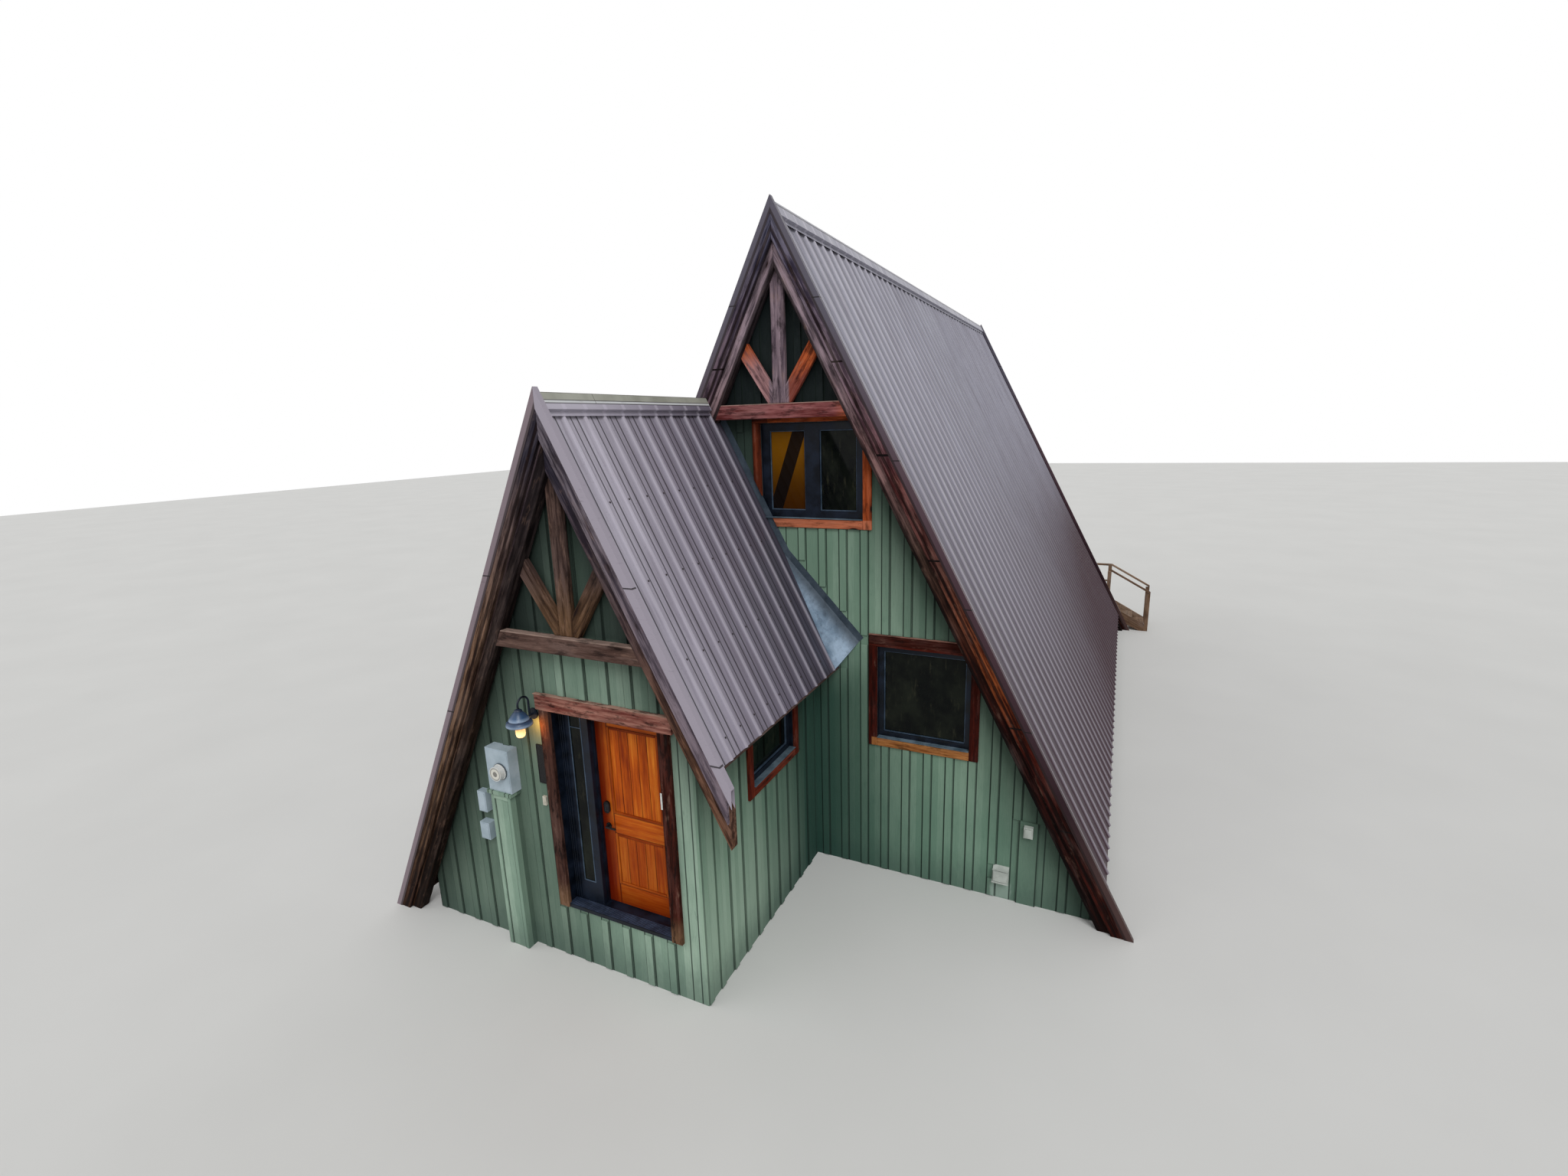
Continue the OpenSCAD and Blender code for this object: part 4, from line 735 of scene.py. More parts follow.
def siding(name, axis=None, first=0.0, spacing=1.0, cover=batten_w):
    """Painted boards along an axis, or painted battens where no axis is given."""
    paint = Finish(name, Specular_IOR_Level=0.2)
    x, y, z = paint.axes()
    if axis:
        number = ((x if axis == "X" else y) - first) / spacing + 0.5
        part = number % 1.0
        board = paint.chance(number - part)
        fibre = paint.noise(8.0, (22, 22, 0.6), None, 4.0, 0.6)
        edge_shadow_line = paint.fade(abs(abs(part - 0.5) * spacing - cover / 2 - 0.009), 0.0100, 0.004)
    else:
        own, board = paint.attribute("grain", 1), paint.attribute("board", 2)
        fibre = paint.noise(8.0, (0.6, 22, 22), own, 4.0, 0.6)
        edge_shadow_line = paint.fade(abs(paint.axes(own)[1]), cover / 2 - 0.006, cover / 2 - 0.0015) * 0.7
    cloud = paint.noise(1.3, (1.2, 1.2, 0.5), None, 5.0, 0.62)
    mottle = paint.noise(16.0, (1, 1, 0.35), None, 5.0, 0.7)
    # Where a point lies: on the main walls or the entry's, on the front, and on the entry's right side.
    on_main, front = y > face_y - 0.2, y < 0.0
    off_main, right_wall = 1.0 - on_main, x > entry_side - 0.03
    # The paint itself, with its brush marks, chalk and dirt.
    green = paint.mix(paint.fade(cloud + (board - 0.5) * 0.3, 0.3, 0.72), (126, 151, 134), (158, 181, 163))
    green = paint.mix(paint.fade(fibre, 0.45, 0.8, 0.0, 0.45), green, (84, 108, 97))
    green = paint.mix(paint.fade(fibre, 0.36, 0.2, 0.0, 0.35), green, (160, 178, 164))
    green = paint.mix(paint.fade(mottle, 0.58, 0.78, 0.0, 0.35), green, (82, 104, 94))
    green = paint.mix((on_main | right_wall) * 0.4, green, (92, 128, 104))
    # Painted shade on the entry's front, paler low on its side, darker teal low on the main walls, and splashes at
    # every foot.
    on_entry = off_main * (x < entry_side - 0.03) * (y > face_y - 2.66)
    shade = paint.fade(x, ridge_x - 0.2, ridge_x - 1.9) * 0.66 | paint.fade(z, 2.95, 3.15) * 0.38
    green = paint.mix(on_entry * shade, green, (52, 70, 59))
    green = paint.mix(right_wall * off_main * paint.fade(z, 1.7, 0.5) * 0.35, green, (176, 196, 178))
    green = paint.mix(on_main * paint.fade(z, 2.0, 0.6) * 0.26, green, (44, 92, 80))
    splash = paint.fade(z + (mottle - 0.5) * 0.5 + (fibre - 0.5) * 0.3, 0.55, 0.0)
    green = paint.mix(splash * 0.5, green, (58, 78, 72))
    # Painted shade in the inside corner, under both slopes, behind the trusses and left of the upper window.
    on_side = right_wall * off_main * paint.fade(y, face_y - 2.3, face_y + 0.2)
    inside = on_main * front * (x > entry_side - 0.1)
    inside = inside * paint.fade(x, entry_side + 1.7, entry_side) * paint.fade(z, 3.3, 2.2)
    green = paint.mix((on_side | inside) * 0.9, green, (24, 58, 50))
    clear_of_slope_shade = paint.fade(depth_under(paint, main_apex), 0.1, 1.25) * on_main
    clear_of_slope_shade = clear_of_slope_shade + paint.fade(depth_under(paint, entry_apex), 0.12, 1.1) * off_main
    green = paint.mix((1.0 - clear_of_slope_shade) * 0.88, green, (13, 26, 21))
    nook_shade = on_main * front * paint.fade(x, ridge_x - 0.2, ridge_x - 0.45) * paint.fade(z, 4.2, 4.9)
    peak_shade = paint.fade(z, 5.74, 5.86) * on_main * 0.98 | nook_shade * 0.8
    peak_shade = peak_shade | paint.fade(z, 3.62, 3.74) * off_main * paint.fade(z, 3.85, 4.15, 0.73, 0.55)
    green = paint.mix(peak_shade, green, (8, 18, 20))
    # Pale dust round the vent, and painted shadow lines along the battens' edges.
    lint = on_main * front * paint.fade(abs(x - hood_x + (mottle - 0.5) * 0.1), 0.14, 0.09)
    lint = lint * paint.fade(abs(z - hood_low.z + 0.14), 0.15, 0.08)
    green = paint.mix(lint * 0.5, green, (166, 184, 174))
    green = paint.mix(edge_shadow_line * 0.85, green, (17, 28, 24))
    return paint.paint(Base_Color=green, Roughness=paint.fade(mottle, 0.3, 0.7, 0.68, 0.86),
                       Normal=paint.relief(fibre * 0.8 + mottle * 0.4, 0.003, 0.55))


batten_paint_and_shade = siding("siding_batten_paint_and_shade")
siding("main_wall_paint_and_shade", "X", main_first, main_board).cover("main_front_wall")
siding("entry_wall_paint_and_shade", "X", entry_first, entry_board).cover(
    "entry_wall_left", "entry_wall_right", "entry_wall_top", "entry_wall_sill")
siding("entry_side_paint_and_shade", "Y", side_first, side_board).cover("entry_right_wall", "low_side_walls")
siding("back_wall_paint_and_shade", "X", ridge_x, main_board).cover("main_back_wall")


def bar(low, high):
    """A bar between two corners, added in edit mode."""
    low, high = Vector(low), Vector(high)
    bpy.ops.mesh.primitive_cube_add(size=1, location=(low + high) / 2, scale=high - low)


def wall_bar(along, a0, a1, z0, z1, d0, d1):
    """A bar on a wall that runs along x or y: its span on the wall, its heights and its depth range."""
    near, far = sorted((d0, d1))
    if along == "x":
        bar((a0, near, z0), (a1, far, z1))
    else:
        bar((near, a0, z0), (far, a1, z1))


def parts_of(name):
    """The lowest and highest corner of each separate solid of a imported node."""
    mesh = nodes[name].data
    points = np.array([v.co for v in mesh.vertices])
    keys = {}
    index = np.array([keys.setdefault(tuple(p), len(keys)) for p in np.round(points, 5)])
    label = joined(index[np.array([e.vertices[:] for e in mesh.edges])], len(keys))[index]
    return [(Vector(points[label == k].min(0)), Vector(points[label == k].max(0))) for k in np.unique(label)]


def keep_clear(*names, along="x", where=None):
    """The spans along a wall and up it that the trims and fittings take."""
    axis, gap = "xy".index(along), 0.003
    return [(lo[axis] - gap, hi[axis] + gap, lo.z - gap, hi.z + gap)
            for name in names for lo, hi in parts_of(name) if not where or where(lo)]


def battens(name, centres, face, keep_out, top, apex, signs=(1, -1), along="x", out=-1):
    """Upright battens on one wall, stopped round the trims and cut to the roof slopes."""
    foot, shortest, deck_depth = 0.012, 0.03, 0.151
    piece = begin(name)
    for c in centres:
        low, high = c - batten_w / 2, c + batten_w / 2
        spans = [(foot, top)]
        for a0, a1, z0, z1 in keep_out:
            if high > a0 and low < a1:
                halves = [half for lo, hi in spans for half in ((lo, min(hi, z0)), (max(lo, z1), hi))]
                spans = [(lo, hi) for lo, hi in halves if hi - lo > shortest]
        for lo, hi in spans:
            wall_bar(along, low, high, lo, hi, face, face + out * batten_t)
    for sign in signs:
        bpy.ops.mesh.select_all(action="SELECT")
        bpy.ops.mesh.bisect(plane_co=slope_point(apex, sign, 0, -deck_depth, 0), plane_no=square_to(sign),
                            use_fill=True, clear_outer=True)
    close(piece, batten_paint_and_shade, 0.0025, grained=True)


def entry_line(x):
    """The height of the entry roof's outer line."""
    return entry_apex.z - abs(x - entry_apex.x) * math.tan(pitch)


def cricket_line(x):
    """The height at which battens start above the cricket, x metres right of the ridge."""
    return 3.996 - (x - 0.06) * 1.064 + 0.11


main_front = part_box("main_front_wall")[0].y
main_keep = keep_clear("window_trims", where=lambda low: face_y < low.y < 0 and low.x > ridge_x - 0.5)
main_keep += keep_clear("outlet_cover_board", "vent_hood")
upper_window = (ridge_x - 0.306, ridge_x + 0.989, 4.4, 5.7)
lower_window = (ridge_x + 1.165, ridge_x + 2.280, 1.8, 3.0)
main_keep += [upper_window, lower_window]
main_centres = [main_first + main_board * k for k in range(-6, 12)]
# From left to right they stop above the entry roof, round its eave and the cricket, and round the cricket's foot.
for c in main_centres:
    left, right, x = c - 0.05, c + 0.05, c - ridge_x
    if x < 0.34:
        main_keep.append((left, right, 0.0, entry_line(left) + 0.11))
    elif x < 0.6:
        main_keep.append((left, right, entry_line(right) - 0.34, cricket_line(x)))
    elif x < 0.8:
        main_keep.append((left, right, 2.66, cricket_line(x)))
    elif x < 1.05:
        main_keep.append((left, right, 2.99, 3.11))
battens("main_front_battens", main_centres, main_front, main_keep, 7.6, main_apex)

entry_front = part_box("entry_wall_left")[0].y
entry_keep = keep_clear("door_trims", "utility_boxes", "meter_chase", "number_plaque", "doorbell")
doorway = (ridge_x - 1.45, ridge_x + 0.1, 0.60, 3.0)
lamp_foot = (ridge_x - 1.64, ridge_x - 1.49, 2.74, 2.93)
beside_post = (ridge_x + 0.12, ridge_x + 0.4, 0, 4)
entry_keep += [doorway, lamp_foot, beside_post]
battens("entry_front_battens", [entry_first - entry_board * k for k in range(-2, 12)], entry_front, entry_keep,
        5.6, entry_apex)

side_keep = keep_clear("window_trims", along="y", where=lambda low: low.y < face_y - 0.2)
side_window = (face_y - 1.6, face_y - 0.45, 1.8, 2.4)
side_keep.append(side_window)
battens("entry_side_battens", [face_y - 2.558] + [side_first + side_board * k for k in range(9)], entry_side,
        side_keep, 3.5, entry_apex, (1,), "y", 1)

back_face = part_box("main_back_wall")[1].y
back_keep = keep_clear("window_trims", where=lambda low: low.y > 0) + keep_clear("rear_door")
back_upper_window = (ridge_x - 0.648, ridge_x + 0.648, 4.4, 5.7)
back_lower_window = (ridge_x - 1.115, ridge_x, 1.8, 3.0)
landing = (ridge_x + 1.29, ridge_x + 2.37, 0.59, 0.67)
back_keep += [back_upper_window, back_lower_window, landing]
back_centres = [ridge_x + main_board * k for k in range(-13, 14)]
battens("back_battens", back_centres, back_face, back_keep, 7.6, main_apex, out=1)

# The floors show only through the doorway and the glass. They are wide softwood boards, nailed down and oiled, and
# run back from the door.
oiled = Finish("floor_boards", Specular_IOR_Level=0.4)
x = oiled.axes()[0]
floor_board = 0.14
part = (x % floor_board) / floor_board
streak = oiled.noise(5.0, (9, 0.5, 1), None, 4.0, 0.6)
chance = oiled.chance(x / floor_board - part)
colour = oiled.stain(streak + (chance - 0.5) * 0.3, (120, 84, 52), (176, 134, 90))
colour = oiled.mix((part < 0.03) * 0.8, colour, (40, 26, 18))
oiled.paint(Base_Color=colour, Roughness=oiled.fade(streak, 0.3, 0.7, 0.35, 0.5),
            Normal=oiled.relief(streak, 0.002, 0.3)).cover("ground_floor", "upper_floor")


# The windows are set in navy frames, two sashes in the upper window and one fixed pane in each of the others. The
# glass is held by a bead on the outside, the reveals are lined in the same navy, and a folded sill sheds water over
# the sill board.
def painted(name, dark, light, rough=0.45, wear=0.25, worn=(150, 150, 150), scale=6.0):
    """Paint or coating on metal and joinery: faint cloud, fine dust and chips."""
    coat = Finish(name, Specular_IOR_Level=0.25)
    cloud = coat.noise(scale, detail=4.0, rough=0.6)
    dust = coat.noise(scale * 9, detail=3.0, rough=0.6)
    colour = coat.mix(coat.fade(dust, 0.6, 0.8, 0.0, wear), coat.stain(cloud, dark, light), worn)
    return coat.paint(Base_Color=colour, Normal=coat.relief(dust * 0.4 + cloud, 0.0015, 0.25),
                      Roughness=coat.fade(cloud + (dust - 0.5) * 0.4, 0.3, 0.7, rough - 0.08, rough + 0.12))


navy = painted("navy_frame_paint", (5, 9, 17), (18, 27, 42), 0.42, 0.25, (56, 70, 88))
navy.cover("window_frames", "door_frame")
# The beads are painted a paler navy, as a painted highlight along them.
navy_bead_highlight = painted("navy_bead_paint_and_highlight", (40, 54, 70), (70, 86, 104), 0.4, 0.35, (132, 144, 156))
sill_metal = painted("sill_flashing", (66, 84, 96), (112, 130, 142), 0.4, 0.3, (36, 42, 52))


def hoop(a0, a1, z0, z1, width, d0, d1, along="x"):
    """Four bars round an opening, added in edit mode; d0 and d1 are their depth range."""
    for b0, b1, y0, y1 in ((a0, a0 + width, z0, z1), (a1 - width, a1, z0, z1),
                           (a0 + width, a1 - width, z1 - width, z1), (a0 + width, a1 - width, z0, z0 + width)):
        wall_bar(along, b0, b1, y0, y1, d0, d1)


def outward(lo, hi):
    """How a window lies: its axis, its span on the wall, its outer face, the way out and the wall's face."""
    if hi.y - lo.y > 0.5:
        return "y", lo.y, hi.y, hi.x, 1, entry_side
    if lo.y > 0:
        return "x", lo.x, hi.x, hi.y, 1, back_face
    return "x", lo.x, hi.x, lo.y, -1, main_front


beads = begin("window_beads")
for lo, hi in parts_of("window_glass"):
    along, a0, a1, face, out, _ = outward(lo, hi)
    hoop(a0, a1, lo.z, hi.z, 0.012, face + out * 0.0005, face + out * 0.022, along)
close(beads, navy_bead_highlight, 0.003, 2)

reveals = begin("window_reveals")
for lo, hi in parts_of("window_frames"):
    along, a0, a1, face, out, wall = outward(lo, hi)
    hoop(a0, a1, lo.z, hi.z, 0.005, face, wall + out * 0.002, along)
close(reveals, navy, 0.001)

sill = begin("window_sill_flashing")
for lo, hi in parts_of("window_frames"):
    along, a0, a1, face, out, wall = outward(lo, hi)
    wall_bar(along, a0 + 0.006, a1 - 0.006, lo.z + 0.005, lo.z + 0.009, face, wall + out * 0.040)
close(sill, sill_metal, 0.001)

# The panes are flat glass, bedded in the frames and dark against an unlit room. Behind the upper left pane the slope
# of the ceiling shows yellow, crossed by a dark beam. The others carry painted reflections of dim brown and green
# shapes.
glass = Finish("window_panes_and_reflections", Roughness=0.03, Specular_IOR_Level=0.1)
x, y, z = glass.axes()
murk = glass.noise(2.4, (1, 1, 0.8), None, 4.0, 0.62)
shapes = glass.noise(7.0, (2.4, 1, 0.5), None, 5.0, 0.7)
deep = glass.mix(glass.fade(murk, 0.38, 0.7), (5, 8, 8), (27, 31, 24))
deep = glass.mix(glass.fade(shapes, 0.54, 0.72, 0.0, 0.5), deep, (58, 58, 44))
pane_left, pane_foot, pane_w, pane_h = ridge_x - 0.213, 4.582, 0.461, 0.944
u, v = (x - pane_left) / pane_w, (z - pane_foot) / pane_h
beam = abs(u - (v * 0.72 + 0.10)) < 0.19
ceiling = glass.mix(glass.fade(v + (murk - 0.5) * 0.4, 0.0, 1.0), (62, 32, 3), (124, 80, 8))
ceiling = glass.mix(beam * 0.95, ceiling, (14, 12, 12))
upper_left = (abs(u - 0.5) < 0.52) * (abs(v - 0.5) < 0.51) * (y < 0.0)
glass.paint(Base_Color=glass.mix(upper_left, deep, ceiling),
            Normal=glass.relief(glass.noise(1.2, detail=2.0), 0.002, 0.15)).cover("window_glass")


# Sawn boards trim the windows: side boards, a sill board between them and a deeper head board over all three. The
# stain is orange-red, brightest on the sills and palest along the tops of the head boards, and dark red in the shade
# of the lower window.
def trim_tint(wood, colour, patch, streak):
    x, y, z = wood.axes()
    upper, lower = z > 4.3, (z < 3.3) * (y < 0.0)
    orange = wood.stain(streak, (128, 52, 22), (188, 92, 48))
    colour = wood.mix(upper * wood.fade(patch, 0.30, 0.52), colour, orange)
    upper_sill = wood.mix(streak, (172, 88, 58), (218, 134, 98))
    colour = wood.mix((z < 4.492) * upper * wood.fade(patch, 0.25, 0.45), colour, upper_sill)
    shaded = wood.stain(streak, (40, 12, 8), (106, 44, 28))
    colour = wood.mix(upper * (x < ridge_x - 0.2) * (z > 4.5) * (y < 0.0) * 0.8, colour, shaded)
    gold = wood.stain(streak, (122, 66, 28), (196, 134, 78))
    lower_sill = lower * (z < 1.822) * (z > 1.7) * (x > ridge_x + 1.1) * (x < ridge_x + 2.28)
    colour = wood.mix(lower_sill * 0.95, colour, gold)
    colour = wood.mix((z > 3.02) * lower * 0.5, colour, (30, 14, 8))
    crest = lines(z, 0.008, 3.139) * wood.fade(patch, 0.25, 0.45)
    return wood.mix(crest * 0.75, colour, (160, 118, 104))


trim_wood = timber("window_trim_stain", (36, 8, 5), (76, 22, 12), (122, 50, 30), 0.1, 1.2, trim_tint)
sawn("window_trims", trim_wood, 0.004)

# The front door stands in a deep navy frame with a narrow sidelight on its left. Its reveal is boarded in the same
# navy, with a rebate and a bead that show as fine upright lines.
frame_low, frame_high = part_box("door_frame")
left, right, head = frame_low.x, frame_high.x, frame_high.z
board_t, board_back = 0.010, entry_front + 0.10
board_foot, line_foot = 0.66, 0.70
line_front, line_back = entry_front + 0.084, entry_front + 0.0995
lining = begin("door_reveal_boards")
bar((left, entry_front, board_foot), (left + board_t, board_back, head))
bar((right - board_t, entry_front, board_foot), (right, board_back, head))
bar((left + board_t, entry_front, head - board_t), (right - board_t, board_back, head))
for step in (0.012, 0.036, 0.068):
    bar((left + board_t + step, line_front, line_foot), (left + 0.019 + step, line_back, head - board_t))
close(lining, navy, 0.002)

# A storm pane is set in the front of the sidelight, behind a bead with a painted highlight, with a small clear vent
# panel at its top.
# The threshold is a ribbed metal sill on a timber step.
across = [pair for pair in parts_of("window_glass") if pair[1].y - pair[0].y < 0.5]
low, high = min(across, key=lambda pair: pair[1].x - pair[0].x)
pane_y = entry_front + 0.106
storm = begin("sidelight_storm_pane")
bar((low.x + 0.001, pane_y, low.z + 0.001), (high.x - 0.001, pane_y + 0.004, high.z - 0.001))
close(storm, glass, 0.001)
storm_bead = begin("sidelight_bead")
hoop(low.x, high.x, low.z, high.z, 0.011, pane_y - 0.010, pane_y - 0.0005)
bar((low.x + 0.011, pane_y - 0.008, high.z - 0.155), (high.x - 0.011, pane_y - 0.0005, high.z - 0.145))
close(storm_bead, navy_bead_highlight, 0.002)

threshold = begin("threshold_ribs")
for k in range(7):
    y = entry_front - 0.022 + 0.0165 * k
    bar((left + 0.012, y, 0.6905), (right - 0.012, y + 0.008, 0.6945))
threshold_metal = painted("threshold_metal", (30, 40, 60), (62, 74, 98), 0.38, 0.45, (120, 128, 142), 12.0)
close(threshold, threshold_metal, 0.0015)


# The door leaf is varnished timber with two sunk panels of narrow upright boards. The boards are tongued together
# with a V at each joint, and a moulding stands round each panel. The varnish is orange, darker in the grooves and
# along the stiles.
leaf_low, leaf_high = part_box("front_door")
panel_x0, panel_x1 = leaf_low.x + 0.148, leaf_high.x - 0.148
panels = ((leaf_low.z + 0.238, leaf_low.z + 0.828), (leaf_low.z + 1.058, leaf_high.z - 0.115))
moulding_w, panel_boards = 0.026, 5
plank_w = (panel_x1 - panel_x0 - 2 * moulding_w) / panel_boards


def varnish(name, on_boards):
    """Orange varnish on the leaf's frame, or on the boards of its panels."""
    wood = Finish(name, Specular_IOR_Level=0.10)
    x, y, z = wood.axes()
    if on_boards:
        place, board = own_grain(wood)
    else:
        between = (x > panel_x0) * (x < panel_x1)
        board = between * 0.3 + 0.30
        place = wood.node("ShaderNodeMix", {"data_type": "VECTOR"},
                          {0: between, 4: wood.vector(z, x, y), 5: wood.vector(x + 7.0, z, y)}, output=1)
    streak = wood.noise(5.0, (0.3, 7, 7), place, 5.0, 0.62)
    hair = wood.noise(9.0, (0.7, 40, 40), place, 3.0, 0.6)
    cloud = wood.noise(2.0, (0.8, 2, 2), place, 3.0)
    colour = wood.ramp(streak * 0.62 + board * 0.14 + (cloud - 0.5) * 0.4,
                       (0.18, (118, 36, 2)), (0.37, (182, 82, 10)), (0.62, (224, 132, 40)))
    colour = wood.mix(wood.fade(hair, 0.4, 0.75, 0.0, 0.4), colour, (110, 34, 6), "MULTIPLY")
    colour = wood.mix(wood.fade(z, leaf_low.z + 1.05, leaf_low.z + 0.65) * 0.42, colour, (116, 34, 0))
    if on_boards:
        across = wood.axes(wood.attribute("grain", 1))[1]
        colour = wood.mix(wood.fade(abs(across), plank_w / 2 - 0.007, plank_w / 2 - 0.001) * 0.75, colour, (52, 14, 3))
    else:
        rails = [wood.fade(abs(z - level), 0.012, 0.004) for pair in panels for level in pair]
        stiles = wood.fade(abs(x - panel_x0), 0.012, 0.004) | wood.fade(abs(x - panel_x1), 0.012, 0.004)
        around = stiles | between * (rails[0] | rails[1] | rails[2] | rails[3])
        colour = wood.mix(around * 0.75, colour, (44, 10, 3))
        colour = wood.mix(wood.fade(x, panel_x0 + 0.03, leaf_low.x + 0.03) * 0.9, colour, (92, 12, 3))
        colour = wood.mix(wood.fade(z, leaf_low.z + 0.25, leaf_low.z) * 0.6, colour, (104, 30, 5))
    return wood.paint(Base_Color=colour, Roughness=wood.fade(streak, 0.3, 0.7, 0.3, 0.42),
                      Normal=wood.relief(hair * 0.4 + streak * 0.5, 0.002, 0.35))


varnish("door_leaf_varnish", False).cover("front_door")
panel_wood = varnish("door_panel_varnish", True)
moulding_wood = timber("door_moulding_varnish", (84, 24, 4), (142, 56, 9), (188, 98, 28), 0.0, 0.0, None, 0.45)
for label, sunk, out in (("outer", leaf_low.y + 0.010, -1), ("inner", leaf_high.y - 0.010, 1)):
    planks = begin("door_panel_boards_" + label)
    for z0, z1 in panels:
        for k in range(panel_boards):
            x = panel_x0 + moulding_w + plank_w * k
            wall_bar("x", x + 0.0006, x + plank_w - 0.0006, z0 + moulding_w, z1 - moulding_w, sunk, sunk + out * 0.005)
    close(planks, panel_wood, 0.0028, body="front_door", grained=True)
    mould = begin("door_mouldings_" + label)
    for z0, z1 in panels:
        hoop(panel_x0, panel_x1, z0, z1, moulding_w, sunk, sunk + out * 0.016)
    close(mould, moulding_wood, 0.006, 2, "front_door", True)


# The lock has a keypad over a lever, both in black metal. The keys are plain raised buttons. The hinges are bright
# steel, screwed to the leaf and the frame.
def stud(x, y, z, radius, depth, vertices=12):
    """A round head that faces front or back, added in edit mode."""
    bpy.ops.mesh.primitive_cylinder_add(vertices=vertices, radius=radius, depth=depth, location=(x, y, z),
                                        rotation=(math.pi / 2, 0, 0))


black_metal = painted("black_metal", (7, 7, 9), (18, 18, 22), 0.35, 0.3, (60, 60, 68), 20.0).cover("door_handle")
low, high = max(parts_of("door_handle"), key=lambda pair: pair[1].z)
keys = begin("keypad_buttons")
for row in range(4):
    for column in range(2):
        x, z = (low.x + high.x) / 2 - 0.013 + 0.026 * column, high.z - 0.040 - 0.020 * row
        stud(x, low.y - 0.0008, z, 0.0075, 0.004, 16)
key_metal = painted("keypad_buttons", (26, 27, 31), (52, 54, 60), 0.4, 0.2, scale=30.0)
close(keys, key_metal, 0.0008, body="front_door", smooth=40)
painted("hinge_metal", (120, 122, 128), (164, 166, 170), 0.35, 0.3, (84, 80, 78), 24.0).cover("door_hinges")


# Heavy boards are nailed round the doorway: two posts and a header that runs past them. The stain has gone
# purple-brown, the right post is full of knots, the feet of both posts have bleached to bare wood, and the header's
# top edge is pale.
def door_trim_tint(wood, colour, patch, streak):
    x, _, z = wood.axes()
    header = z > 2.884
    colour = wood.mix(header * wood.fade(patch, 0.2, 0.5), colour, wood.stain(streak, (106, 52, 46), (172, 122, 108)))
    dark_red = wood.stain(streak, (20, 2, 0), (74, 22, 9))
    colour = wood.mix((x > ridge_x - 0.1) * (1.0 - header) * 0.9, colour, dark_red)
    bare = wood.mix(streak, (92, 64, 44), (148, 116, 88))
    colour = wood.mix(wood.fade(z + (patch - 0.5) * 0.4, 1.0, 0.7) * 0.7, colour, bare)
    return wood.mix((z > 3.048) * 0.7, colour, (176, 146, 130))


door_trim_wood = timber("door_trim_stain", (30, 16, 14), (66, 42, 36), (98, 68, 58), 0.12, 1.8, door_trim_tint)
sawn("door_trims", door_trim_wood, 0.004)

# A narrow pale metal plate is left on the inner edge of the right post at head height. It is a flat strip, held by
# two screws.
trims_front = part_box("door_trims")[0].y
plate_at = spot(-0.0235, 0, 2.115)
plate = begin("post_plate")
bar((plate_at.x, trims_front - 0.004, plate_at.z), (plate_at.x + 0.020, trims_front, plate_at.z + 0.170))
for rise in (0.018, 0.152):
    stud(plate_at.x + 0.010, trims_front - 0.0045, plate_at.z + rise, 0.0045, 0.003)
plate_metal = painted("post_plate_metal", (180, 180, 176), (216, 216, 210), 0.4, 0.3, (120, 116, 110), 20.0)
close(plate, plate_metal, 0.001, smooth=40)


# The wall lamp has a bell shade of blue-grey enamel on a curled arm, and a thick jar of ribbed glass that glows
# cream. The bell is spun sheet with a rolled rim, under a cap nut. The jar is blown, and round at the foot.
def turned(name, centre, rings, filled):
    """A shape turned on an upright axis through rings of (radius, height), from the first ring to the last."""
    piece = begin(name)
    bpy.ops.mesh.primitive_circle_add(vertices=36, radius=rings[0][0], location=centre + Vector((0, 0, rings[0][1])),
                                      fill_type="NGON" if filled else "NOTHING")
    for (r0, z0), (r1, z1) in zip(rings, rings[1:]):
        bpy.ops.mesh.extrude_region_move(TRANSFORM_OT_translate={"value": (0, 0, z1 - z0)})
        bpy.ops.transform.resize(value=(r1 / r0, r1 / r0, 1), center_override=centre + Vector((0, 0, z1)))
    bpy.ops.mesh.select_all(action="SELECT")
    bpy.ops.mesh.remove_doubles(threshold=0.0001)
    bpy.ops.mesh.normals_make_consistent(inside=False)
    return piece


lamp_at = spot(-1.562, -2.8, 0)
enamel = Finish("lamp_enamel_and_highlights", Specular_IOR_Level=0.4)
z = enamel.axes()[2]
cloud = enamel.noise(9.0)
# The enamel is banded by height, with painted highlights on the rim and on the ring above the groove, and painted
# shade in the groove.
colour = enamel.ramp((z - 2.77) / 0.18, (0.0, (150, 168, 190)), (0.09, (138, 158, 182)), (0.20, (62, 84, 112)),
                     (0.31, (36, 50, 74)), (0.36, (134, 154, 178)), (0.52, (50, 80, 114)), (0.80, (40, 61, 88)),
                     (0.9, (24, 32, 48)))
colour = enamel.mix(enamel.fade(cloud, 0.4, 0.7, 0.0, 0.35), colour, (44, 60, 86))
enamel.paint(Base_Color=colour, Roughness=enamel.fade(cloud, 0.3, 0.7, 0.3, 0.42),
             Normal=enamel.relief(cloud, 0.001, 0.15))
painted("lamp_arm_enamel", (8, 12, 20), (24, 32, 46), 0.36, 0.2, (70, 80, 96), 14.0).cover("wall_lamp")
bell_rings = (
    (0.1240, 2.7720), (0.1285, 2.7730), (0.1299, 2.7780), (0.1296, 2.7860), (0.1240, 2.8075), (0.1090, 2.8210),
    (0.1010, 2.8250), (0.1005, 2.8340), (0.0940, 2.8440), (0.0800, 2.8660), (0.0640, 2.8880), (0.0480, 2.9060),
    (0.0400, 2.9130), (0.0400, 2.9230), (0.0340, 2.9310), (0.0220, 2.9390), (0.0120, 2.9420), (0.0120, 2.9200),
    (0.0420, 2.9000), (0.0700, 2.8700), (0.0900, 2.8400), (0.1100, 2.8120), (0.1210, 2.7900), (0.1240, 2.7720))
